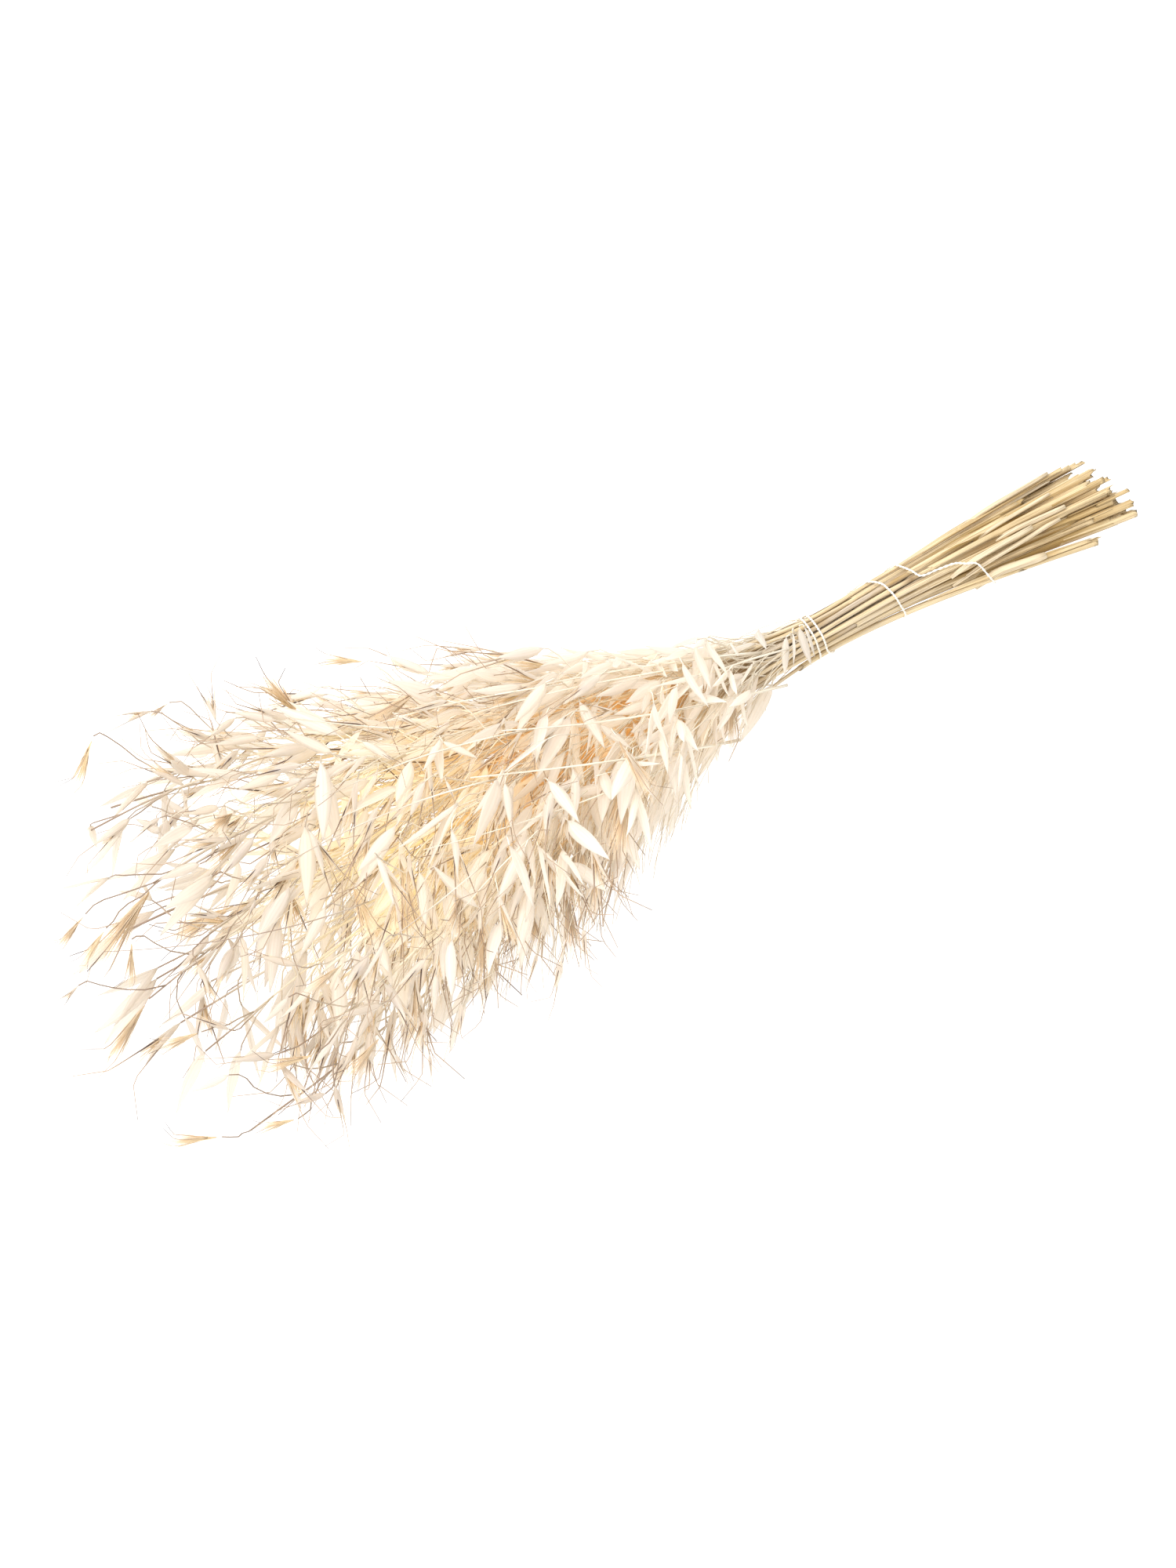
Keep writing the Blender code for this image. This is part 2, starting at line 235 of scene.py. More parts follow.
def pushApart(places, radii, strength):
    for part in (0.0, 0.25, 0.5, 0.75):
        near, far = places[:, :-1], places[:, 1:]
        middle = mixed(near, far, part)
        radius = mixed(radii[:, :-1], radii[:, 1:], part)
        between = middle[:, None] - middle[None, :]
        distance = np.sqrt(between[..., 0] ** 2 + between[..., 1] ** 2)
        steps = (far - near) / np.diff(runs)[None, :, None]
        lean = np.sqrt(1 + steps[..., 0] ** 2 + steps[..., 1] ** 2)
        widened = radius * lean
        short = widened[:, None] + widened[None, :] + bundle["stemGap"] - distance
        short = short.clip(0.0, None)
        for i in range(bundle["stalks"]):
            short[i, i] = 0.0
        away = between / distance[..., None].clip(1e-6, None)
        move = (away * short[..., None]).sum(axis=1) * strength
        places[:, :-1] += move * (1 - part)
        places[:, 1:] += move * part


def restOnTable(places, radii):
    places[..., 1] = np.maximum(places[..., 1], radii + bundle["tableGap"])


def layStems():
    rng = np.random.default_rng(bundle["seed"])
    butts = np.round(rng.uniform(*stalk["buttRadii"], bundle["stalks"]), 6)
    known, shares = zip(*stalk["thickness"])
    radii = butts[:, None] * np.interp(runs, known, shares)[None, :]
    wanted = wantedPlaces(rng)
    places = wanted.copy()
    rounds, pull, straighten, push = bundle["settling"]
    for _ in range(rounds):
        places += (wanted - places) * pull
        bent = (places[:, :-2] + places[:, 2:]) / 2 - places[:, 1:-1]
        places[:, 1:-1] += bent * straighten
        pushApart(places, radii, push)
        restOnTable(places, radii)
    rounds, push = bundle["parting"]
    for _ in range(rounds):
        pushApart(places, radii, push)
        restOnTable(places, radii)
    return np.round(places, 6), radii


places, radii = layStems()


def stemPoint(i, run):
    y = np.interp(run, runs, places[i, :, 0])
    z = np.interp(run, runs, places[i, :, 1])
    return Vector((-run, y, z))


def middleOfBundle(run):
    y = np.interp(run, runs, middleYs)
    return Vector((-run, y, np.interp(run, runs, middleZs)))


def stemDirection(i, run):
    return (stemPoint(i, run + 0.01) - stemPoint(i, run - 0.01)).normalized()


def stalkEnds():
    draw = random.Random(bundle["seed"])
    ends = []
    for i in range(bundle["stalks"]):
        side = (places[i, 0, 0] - middleYs[0]) / halfWidths[0]
        trim = stalk["cutSlant"] * (1 + side) / 2
        trim += draw.uniform(0.0, stalk["cutRaggedness"])
        if i % stalk["shortEvery"] == 2:
            trim = draw.uniform(*stalk["shortShares"]) * stalk["shortestCut"]
        aside = (places[i, -1, 0] - middleYs[-1]) / halfWidths[-1]
        rounding = stalk["tipRounding"] * max(0.0, aside) ** 2
        tip = mixed(*stalk["tipRuns"], draw.random() ** stalk["tipCrowding"]) - rounding
        ends.append((round(stalk["cutRun"] + trim, 5), round(tip, 5)))
    return ends


# Branches and spikelets: each is a path of (point, radius).


def spikeletPath(base, direction, length, belly):
    return [
        (base, stalk["branchRadius"]),
        (base + direction * length * stalk["bellyShare"], belly),
        (base + direction * length, stalk["tipRadius"]),
    ]


def aboveTable(path):
    lifted = []
    for point, radius in path:
        lowest = radius + bundle["tableGap"]
        lifted.append((Vector((point.x, point.y, max(point.z, lowest))), radius))
    return lifted


def unitNoise(draw):
    return Vector([draw.uniform(-1, 1) for _ in range(3)])


def sampled(path, step=4 * mm):
    points = []
    for (start, rStart), (end, rEnd) in zip(path, path[1:]):
        count = max(1, round((end - start).length / step))
        for i in range(count + 1):
            share = i / count
            points.append((*start.lerp(end, share), mixed(rStart, rEnd, share)))
    return np.array(points)


def clearance(points, segments):
    start, end = segments[:, 0:3], segments[:, 4:7]
    along = end - start
    lengthSquared = (along**2).sum(axis=1)
    toPoint = points[:, None, :3] - start[None]
    share = (toPoint * along[None]).sum(axis=2) / lengthSquared[None]
    share = share.clip(0.0, 1.0)
    nearest = start[None] + along[None] * share[..., None]
    distance = np.sqrt(((points[:, None, :3] - nearest) ** 2).sum(axis=2))
    radius = mixed(segments[None, :, 3], segments[None, :, 7], share)
    return (distance - radius - points[:, None, 3]).min()


def segmentsOf(path):
    return [(*a, ra, *b, rb) for (a, ra), (b, rb) in zip(path, path[1:])]


def hangAt(point):
    run = -point.x
    width = np.interp(run, runs, halfWidths)
    aside = float((point.y - np.interp(run, runs, middleYs)) / width)
    far = min(1.0, max(0.0, aside))
    return stalk["hang"] * mixed(1.0, stalk["hangAtFarSide"], far)


def leavingDirection(i, root, run, draw, kind):
    # Slanted away from the stem, rather to the outside of the bundle.
    ahead = stemDirection(i, run)
    side = (root - middleOfBundle(run)).normalized() * kind["outward"]
    side += unitNoise(draw) * kind["sideStray"]
    side = (side - ahead * side.dot(ahead)).normalized()
    spread = math.radians(draw.uniform(*kind["spread"]))
    return ahead * math.cos(spread) + side * math.sin(spread)


def branchPath(i, run, draw, kind):
    root = stemPoint(i, run)
    leaving = leavingDirection(i, root, run, draw, kind)
    base = root + leaving * draw.uniform(*kind["lengths"])
    hanging = leaving * kind["ahead"] + hangAt(base) + unitNoise(draw) * kind["stray"]
    length = draw.uniform(*kind["spikeletLengths"])
    belly = draw.uniform(*kind["belly"])
    spikelet = spikeletPath(base, hanging.normalized(), length, belly)
    return aboveTable([(root, kind["rootRadius"]), *spikelet])


def stemPath(i, cut, tip):
    stops = [cut, *(run for run in runs if cut + 0.01 < run < tip - 0.005), tip]
    return [(stemPoint(i, r), float(np.interp(r, runs, radii[i]))) for r in stops]


def tipPath(stem, i, tip, tries, draw):
    ahead = stemDirection(i, tip - 0.012)
    stray = mixed(*stalk["tipStrays"], tries / stalk["tries"])
    end, radius = stem[-1]
    hanging = ahead + hangAt(end) * stalk["tipHang"] + unitNoise(draw) * stray
    hanging = hanging.normalized()
    shorter = mixed(*stalk["tipSizes"], tries / stalk["tries"])
    length = draw.uniform(*branch["spikeletLengths"]) * shorter
    belly = draw.uniform(*branch["belly"])
    spikelet = spikeletPath(end, hanging, length, belly)
    return aboveTable([(end, radius), *spikelet[1:]])


def pointInReach(point, over=0.0):
    stops, lows, highs = zip(*bundle["outline"])
    along = (point - bundle["neck"]).dot(bundle["seenAlong"])
    aside = (point - bundle["neck"]).dot(bundle["seenAside"])
    low = np.interp(along, stops, lows)
    high = np.interp(along, stops, highs)
    if along < bundle["overFrom"]:
        over = 0.0
    within = low - over <= aside <= high + over and along <= stops[-1] + over
    return within and point.z <= bundle["highest"]


def inReach(path, over=0.0):
    return all(pointInReach(point, over) for point, _ in path[1:])


def isFree(path, taken, i, gap):
    others = [segment for owner, segment in taken if owner != i]
    return clearance(sampled(path)[1:], np.array(others)) > gap


def growStalks():
    ends = stalkEnds()
    stems, taken = [], []
    tips = [None] * bundle["stalks"]
    for i, (cut, tip) in enumerate(ends):
        stem = stemPath(i, cut, tip)
        stems.append(stem)
        taken.extend((i, segment) for segment in segmentsOf(stem))
    for i, (_, tip) in enumerate(ends):
        draw = random.Random(bundle["seed"] * 1000 + i)
        for tries in range(stalk["tries"]):
            path = tipPath(stems[i], i, tip, tries, draw)
            if inReach(path) and isFree(path, taken, i, stalk["branchGap"]):
                tips[i] = path
                taken.extend((anyOwner, s) for s in segmentsOf(path)[1:])
                taken.append((i, segmentsOf(path)[0]))
                break
    branches = [[] for _ in stems]
    for share in branch["shares"]:
        for i, (_, tip) in enumerate(ends):
            draw = random.Random(round((bundle["seed"] + share) * 100000) + i)
            for _ in range(stalk["tries"]):
                at = share + draw.uniform(-branch["shareShift"], branch["shareShift"])
                run = mixed(branch["firstRun"], tip - 0.01, at)
                path = branchPath(i, run, draw, branch)
                if inReach(path) and isFree(path, taken, i, stalk["branchGap"]):
                    branches[i].append(path)
                    taken.extend((anyOwner, s) for s in segmentsOf(path))
                    break
    return ends, tips, branches, taken


ends, tips, branches, taken = growStalks()
print("main branches:", sum(len(b) for b in branches), "tips:", sum(map(bool, tips)))

# The spikelets that can be told apart in the photograph: the pixels where the
# husk starts and ends, its kind, and whether its flat or its side is seen.
shown = {
    "places": (
        (456, 994, 439, 1093, "open", "side"),
        (584, 1024, 530, 1100, "empty", "side"),
        (646, 986, 607, 1038, "single", "flat"),
        (644, 999, 657, 1072, "open", "flat"),
        (716, 1015, 680, 1067, "single", "flat"),
        (670, 1080, 634, 1148, "single", "flat"),
        (569, 996, 583, 1026, "closed", "flat"),
        (609, 1157, 553, 1108, "single", "flat"),
        (565, 946, 607, 967, "single", "flat"),
        (462, 946, 512, 976, "open", "flat"),
        (502, 910, 544, 930, "closed", "flat"),
        (913, 891, 900, 961, "empty", "side"),
        (904, 843, 875, 881, "single", "flat"),
        (868, 967, 818, 973, "single", "flat"),
        (739, 895, 770, 952, "single", "flat"),
        (766, 925, 804, 954, "single", "flat"),
        (818, 923, 812, 952, "closed", "flat"),
        (933, 858, 933, 935, "tuft", "flat"),
        (835, 872, 778, 875, "single", "flat"),
        (831, 895, 784, 912, "single", "flat"),
        (778, 1004, 722, 1013, "single", "flat"),
        (814, 1023, 808, 1060, "closed", "flat"),
        (1020, 802, 1034, 846, "single", "flat"),
        (1011, 806, 1016, 852, "single", "side"),
        (1003, 812, 1000, 860, "single", "flat"),
        (1026, 800, 1042, 834, "single", "side"),
        (853, 829, 833, 846, "closed", "flat"),
        (324, 1068, 272, 1128, "open", "flat"),
        (166, 1044, 117, 1086, "open", "flat"),
        (204, 1043, 168, 1068, "open", "flat"),
        (295, 1069, 222, 1084, "open", "side"),
        (255, 1102, 206, 1121, "single", "flat"),
        (140, 1119, 84, 1152, "empty", "side"),
        (109, 1166, 80, 1202, "tuft", "flat"),
        (135, 1184, 110, 1222, "tuft", "flat"),
        (168, 1198, 167, 1247, "tuft", "flat"),
        (100, 1257, 68, 1292, "open", "side"),
        (278, 1169, 231, 1166, "closed", "flat"),
        (276, 1210, 228, 1257, "open", "side"),
        (389, 1055, 394, 1150, "single", "flat"),
        (326, 1148, 313, 1178, "closed", "flat"),
        (415, 1157, 386, 1216, "single", "flat"),
        (377, 1231, 321, 1216, "open", "flat"),
        (439, 1228, 402, 1259, "tuft", "flat"),
        (368, 1272, 339, 1304, "single", "flat"),
        (292, 1313, 242, 1295, "closed", "flat"),
        (257, 1316, 211, 1334, "tuft", "flat"),
        (351, 1345, 283, 1354, "open", "flat"),
        (404, 1345, 348, 1360, "tuft", "flat"),
        (292, 1371, 248, 1392, "single", "flat"),
        (415, 1395, 365, 1412, "open", "flat"),
        (380, 1427, 338, 1438, "tuft", "flat"),
        (283, 1450, 226, 1456, "tuft", "flat"),
        (427, 1386, 441, 1440, "closed", "flat"),
        (487, 1281, 425, 1299, "open", "flat"),
        (556, 1243, 553, 1300, "open", "flat"),
        (487, 1320, 451, 1366, "tuft", "flat"),
        (522, 1292, 514, 1322, "closed", "flat"),
        (589, 1281, 586, 1325, "closed", "flat"),
        (548, 1345, 550, 1376, "closed", "flat"),
        (505, 1345, 520, 1378, "closed", "flat"),
        (489, 1202, 461, 1279, "open", "side"),
        (543, 1223, 494, 1274, "open", "flat"),
        (716, 1225, 706, 1274, "closed", "flat"),
        (686, 1215, 675, 1250, "closed", "flat"),
        (752, 1131, 742, 1184, "open", "flat"),
        (744, 1185, 748, 1230, "closed", "flat"),
        (793, 1080, 777, 1151, "open", "flat"),
        (681, 1128, 670, 1172, "single", "flat"),
        (668, 1126, 642, 1187, "open", "flat"),
        (617, 1249, 596, 1260, "closed", "flat"),
        (193, 907, 147, 921, "open", "side"),
        (216, 896, 194, 912, "tuft", "flat"),
        (119, 939, 101, 992, "tuft", "flat"),
        (275, 919, 258, 870, "open", "side"),
        (300, 916, 254, 950, "open", "flat"),
        (351, 919, 287, 904, "open", "flat"),
        (361, 886, 318, 873, "closed", "flat"),
        (410, 876, 366, 893, "single", "flat"),
        (430, 937, 359, 901, "single", "flat"),
        (423, 960, 346, 929, "open", "flat"),
        (359, 985, 308, 1006, "single", "flat"),
        (410, 983, 359, 1021, "open", "flat"),
        (323, 1036, 305, 1061, "closed", "flat"),
        (467, 844, 418, 842, "tuft", "flat"),
        (547, 858, 486, 838, "open", "flat"),
        (620, 860, 590, 833, "closed", "flat"),
    ),
    "lift": 13 * mm,
    "tipLift": 9 * mm,
    "edge": 14 * mm,
    "raise": 2.5 * mm,
    "tries": 6,
    "overlap": -1.6 * mm,
    "huskShare": 0.64,
    "steepest": 0.40,
    "rimCrown": 0.55,
    "belly": 3.0 * mm,
    "rootRadius": 0.2 * mm,
    "reachBack": 30 * mm,
}


def whereSeen(x, y, level, heightAt):
    # Where the line of sight through a pixel meets what stands that high.
    eye = cameraPlace()
    sight = photoPlane(x, y) - eye
    for _ in range(10):
        spot = eye + sight * ((level - eye.z) / sight.z)
        level = (level + heightAt(spot)) / 2
    return spot


def onHeads(x, y, lift):
    # On the upper side of the heads.
    def heightAt(spot):
        run = -spot.x
        middle = middleOfBundle(run)
        wide = np.interp(run, runs, halfWidths) + shown["edge"]
        high = np.interp(run, runs, halfHeights) + lift
        share = (spot.y - middle.y) / wide
        crown = math.sqrt(1 - min(1.0, abs(share)) ** 2)
        if share > 0:
            crown = max(crown, shown["rimCrown"])
        return middle.z + high * crown

    return whereSeen(x, y, 50 * mm, heightAt)


def nearestStalk(base):
    found = []
    for i, (_, tip) in enumerate(ends):
        run = min(max(-base.x - shown["reachBack"], 0.006), tip - 0.010)
        root = stemPoint(i, run)
        found.append(((root - base).length, i, root))
    return min(found)[1:]


def growShown():
    grown = [[] for _ in ends]
    for baseX, baseY, tipX, tipY, kind, side in shown["places"]:
        base = onHeads(baseX, baseY, shown["lift"])
        tip = onHeads(tipX, tipY, shown["tipLift"])
        toEye = (cameraPlace() - base).normalized()
        rise = (tip - base).dot(toEye)
        most = (tip - base - toEye * rise).length * shown["steepest"]
        tip += toEye * (max(-most, min(most, rise)) - rise)
        i, root = nearestStalk(base)
        for tries in range(shown["tries"]):
            raised = toEye * shown["raise"] * tries
            axis = tip - base
            path = spikeletPath(
                base + raised,
                axis.normalized(),
                axis.length / shown["huskShare"],
                shown["belly"],
            )
            path = aboveTable([(root, shown["rootRadius"]), *path])
            if isFree(path, taken, anyOwner - 1, shown["overlap"]):
                break
        grown[i].append((path, kind, side))
        taken.extend((anyOwner, s) for s in segmentsOf(path)[1:])
    return grown


shownSpikelets = growShown()
print("spikelets told apart:", sum(len(s) for s in shownSpikelets))

# The finer branches that the solids leave out.
fine = {
    "perStalk": 21,
    "over": 6 * mm,
    "outward": 0.7,
    "sideStray": 1.0,
    "spread": (12, 62),
    "lengths": (12 * mm, 60 * mm),
    "ahead": 0.8,
    "stray": 0.55,
    "spikeletLengths": (38 * mm, 60 * mm),
    "belly": (2.2 * mm, 3.4 * mm),
    "rootRadius": 0.2 * mm,
    "tries": 14,
    "overlap": -1.6 * mm,
    "firstRun": 0.016,
    "crowdToTip": 0.9,
    # over these runs the share that is kept goes down to the least
    "thins": (0.275, 0.35),
    "leastShare": 0.25,
}


def growFineBranches():
    fineBranches = [[] for _ in ends]
    thinFrom, thinTo = fine["thins"]
    for k in range(fine["perStalk"]):
        for i, (_, tip) in enumerate(ends):
            draw = random.Random(900001 + i * 131 + k * 7919)
            for _ in range(fine["tries"]):
                share = ((k + draw.random()) / fine["perStalk"]) ** fine["crowdToTip"]
                run = mixed(fine["firstRun"], tip - 0.012, share)
                path = branchPath(i, run, draw, fine)
                near = inReach(path, fine["over"])
                far = (-path[-1][0].x - thinFrom) / (thinTo - thinFrom)
                near = near and draw.random() > far * (1 - fine["leastShare"])
                if near and isFree(path, taken, i, fine["overlap"]):
                    fineBranches[i].append(path)
                    taken.extend((anyOwner, s) for s in segmentsOf(path)[1:])
                    break
    return fineBranches


fineBranches = growFineBranches()
print("fine branches:", sum(len(b) for b in fineBranches))


# Materials.


class Value:
    # A socket whose arithmetic adds Math nodes.
    def __init__(self, finish, socket):
        self.finish = finish
        self.socket = socket

    def math(self, operation, first, second=0.0):
        settings = {"operation": operation}
        return self.finish.node("ShaderNodeMath", settings, {0: first, 1: second})

    def __add__(self, other):
        return self.math("ADD", self, other)

    def __sub__(self, other):
        return self.math("SUBTRACT", self, other)

    def __rsub__(self, other):
        return self.math("SUBTRACT", other, self)

    def __mul__(self, other):
        return self.math("MULTIPLY", self, other)

    def __pow__(self, other):
        return self.math("POWER", self, other)

    __radd__ = __add__
    __rmul__ = __mul__

    def cosine(self):
        return self.math("COSINE", self)

    def clamped(self, low=0.0, high=1.0):
        return self.math("MINIMUM", self.math("MAXIMUM", self, low), high)


class Finish:
    # A material under construction.
    def __init__(self, name):
        self.material = bpy.data.materials.new(name)
        self.material.use_nodes = True
        self.tree = self.material.node_tree
        self.shader = self.tree.nodes["Principled BSDF"]

    def node(self, kind, settings, inputs, output=0):
        made = self.tree.nodes.new(kind)
        for name, value in settings.items():
            setattr(made, name, value)
        for key, value in inputs.items():
            if isinstance(value, Value):
                self.tree.links.new(value.socket, made.inputs[key])
            else:
                made.inputs[key].default_value = value
        return Value(self, made.outputs[output])

    def attribute(self, name):
        return self.node("ShaderNodeAttribute", {"attribute_name": name}, {}, "Fac")

    def grain(self):
        return self.node("ShaderNodeUVMap", {"uv_map": "grain"}, {})

    def split(self, vector):
        return [
            self.node("ShaderNodeSeparateXYZ", {}, {0: vector}, axis) for axis in "XY"
        ]

    def scaled(self, vector, scale):
        settings = {"operation": "MULTIPLY"}
        return self.node("ShaderNodeVectorMath", settings, {0: vector, 1: scale})

    def farShare(self, ends):
        # 0 near the neck and 1 towards the tips, by the place along the bundle
        place = self.node("ShaderNodeTexCoord", {}, {}, "Object")
        return self.spread(self.split(place)[0], *ends)

    def noise(self, vector, scale, detail=3.0, roughness=0.55):
        inputs = {
            "Vector": vector,
            "Scale": scale,
            "Detail": detail,
            "Roughness": roughness,
        }
        return self.node("ShaderNodeTexNoise", {}, inputs, "Fac")

    def blendColour(self, factor, first, second):
        pair = [
            side if isinstance(side, Value) else (*side, 1.0)
            for side in (first, second)
        ]
        inputs = {0: factor, 6: pair[0], 7: pair[1]}
        return self.node("ShaderNodeMix", {"data_type": "RGBA"}, inputs, 2)

    def coated(self, body, *coats):
        for factor, colour in coats:
            body = self.blendColour(factor, body, colour)
        return body

    def spread(self, value, low, high):
        # 0 at the low value and 1 at the high one
        inputs = {"Value": value, "From Min": low, "From Max": high}
        return self.node("ShaderNodeMapRange", {"clamp": True}, inputs)

    def bump(self, height, strength, distance):
        inputs = {"Height": height, "Strength": strength, "Distance": distance}
        return self.node("ShaderNodeBump", {}, inputs)

    def set(self, **sockets):
        for name, value in sockets.items():
            socket = self.shader.inputs[name.replace("_", " ")]
            if isinstance(value, Value):
                self.tree.links.new(value.socket, socket)
            else:
                socket.default_value = value

    def seeThrough(self, colour, share):
        # mixes in light that comes through from behind, as thin husks have it
        thin = self.node("ShaderNodeBsdfTranslucent", {}, {"Color": colour})
        mix = self.tree.nodes.new("ShaderNodeMixShader")
        mix.inputs[0].default_value = share
        self.tree.links.new(self.shader.outputs[0], mix.inputs[1])
        self.tree.links.new(thin.socket, mix.inputs[2])
        output = self.tree.nodes["Material Output"]
        self.tree.links.new(mix.outputs[0], output.inputs[0])


straw = {
    "pale": (0.88, 0.71, 0.44),
    "golden": (0.47, 0.29, 0.075),
    "grey": (0.30, 0.20, 0.08),
    # painted shade: the dark colour put into the straw's fine grooves
    "grooveShadeColour": (0.21, 0.105, 0.022),
    "papery": (0.68, 0.60, 0.49),
    "head": (0.93, 0.86, 0.72),
    # painted light: warm colours for the light scattered deep inside the heads
    "paintedDeepLight": (0.92, 0.58, 0.22),
    "paintedDeepLightFar": (0.97, 0.84, 0.52),
    "knot": (0.24, 0.14, 0.06),
    # emission colours: painted light, the straw glowing from deep inside the heads
    "glow": (0.26, 0.135, 0.035),
    "glowFar": (0.34, 0.26, 0.11),
    # Object X: where the leaves turn papery, the painted warm light deep inside
    # turns from orange to pale yellow, that painted inner light grows stronger, the
    # twigs turn brown and the cut ends pale
    "turnsPapery": (0.215, 0.155),
    "turnsPale": (-0.045, -0.11),
    "turnsWarm": (0.065, 0.015),
    "twig": (0.27, 0.18, 0.13),
    "turnsBrown": (-0.09, -0.19),
    "turnsRich": (0.205, 0.245),
    "turnsCut": (0.262, 0.298),
}


def strawFinish():
    f = Finish("straw")
    grain = f.grain()
    tint, depth, knot, head = (
        f.attribute(n) for n in ("tint", "depth", "dark", "head")
    )
    fineStreaks = f.noise(f.scaled(grain, (2600.0, 26.0, 1.0)), 1.0, 4.0)
    broadStreaks = f.noise(f.scaled(grain, (700.0, 9.0, 1.0)), 1.0)
    patches = f.noise(f.scaled(grain, (120.0, 34.0, 1.0)), 1.0)
    papery = f.farShare(straw["turnsPapery"]) * f.spread(patches + tint * 0.3, 0.5, 0.75)
    bare = f.farShare(straw["turnsBrown"]) * f.spread(depth, 0.3, 0.05)
    warm = f.farShare(straw["turnsWarm"])
    far = f.farShare(straw["turnsPale"])
    paintedDeepLight = f.blendColour(far, straw["paintedDeepLight"], straw["paintedDeepLightFar"])
    glow = f.blendColour(far, straw["glow"], straw["glowFar"])
    # painted shade: fine dark lines in the straw's grooves, weaker deep inside the heads
    grooveShade = f.spread(fineStreaks, 0.47, 0.70) * (0.78 - f.spread(depth, 0.1, 0.7) * 0.45)
    body = f.coated(
        straw["pale"],
        (f.spread(tint, 0.22, 0.60), straw["golden"]),
        (f.spread(tint, 0.66, 0.92) * 0.8, straw["grey"]),
        (f.spread(broadStreaks, 0.42, 0.72) * 0.5, straw["grey"]),
        (f.spread(patches, 0.56, 0.74) * 0.5, straw["golden"]),
        (papery * 0.8, straw["papery"]),
        (f.farShare(straw["turnsRich"]) * 0.25, straw["golden"]),
        (f.farShare(straw["turnsCut"]) * 0.45, straw["pale"]),
        (head * 0.9, straw["head"]),
        (bare * f.spread(head, 0.85, 1.0) * 0.9, straw["twig"]),
        # painted light: a warm colour on the straw deep inside the heads, for light
        # scattered between the stems
        (f.spread(depth, 0.30, 0.95) * (warm * 0.6 + 0.25), paintedDeepLight),
        (grooveShade, straw["grooveShadeColour"]),
        (knot, straw["knot"]),
    )
    # painted light: an emission that makes the straw deep inside the heads glow, less on
    # its broad streaks
    lit = depth * (warm * 0.65 + 0.35) * (1.0 - f.spread(broadStreaks, 0.4, 0.7) * 0.5)
    f.set(
        Base_Color=body,
        Roughness=f.spread(broadStreaks, 0.2, 0.8) * 0.2 + 0.42,
        Normal=f.bump(fineStreaks, 0.7, 0.16 * mm),
        Emission_Color=f.blendColour(lit.clamped(), (0.0, 0.0, 0.0), glow),
        Emission_Strength=1.0,
    )
    return f.material


husk = {
    "outer": (0.76, 0.70, 0.67),
    "outerCream": (0.78, 0.70, 0.61),
    # Object X between which the husks at the outside turn greyer
    "turnsGrey": (-0.12, -0.21),
    "pale": (0.70, 0.69, 0.70),
    "cream": (0.78, 0.73, 0.67),
    "vein": (0.45, 0.39, 0.33),
    "base": (0.80, 0.67, 0.47),
    # painted light: an emission that lifts the husks' shade
    "paintedSheen": (0.41, 0.375, 0.325),
    # painted light: warm colours for the light scattered deep inside the heads
    "paintedDeepLight": (0.97, 0.80, 0.52),
    "paintedDeepLightFar": (0.98, 0.91, 0.70),
    "light": (0.96, 0.92, 0.85),
    # emission colours: painted light, the inner husks glowing
    "glow": (0.42, 0.325, 0.205),
    "glowFar": (0.56, 0.47, 0.31),
    # Object X between which the painted sheen, an emission standing for light coming
    # through the husks, reaches the husks at the outside too
    "turnsLight": (0.15, 0.06),
    "veins": 5.0,
    "seeThrough": 0.56,
    "thinDepth": 0.36,
    "opacity": 0.78,
    "marginOpacity": 0.42,
}


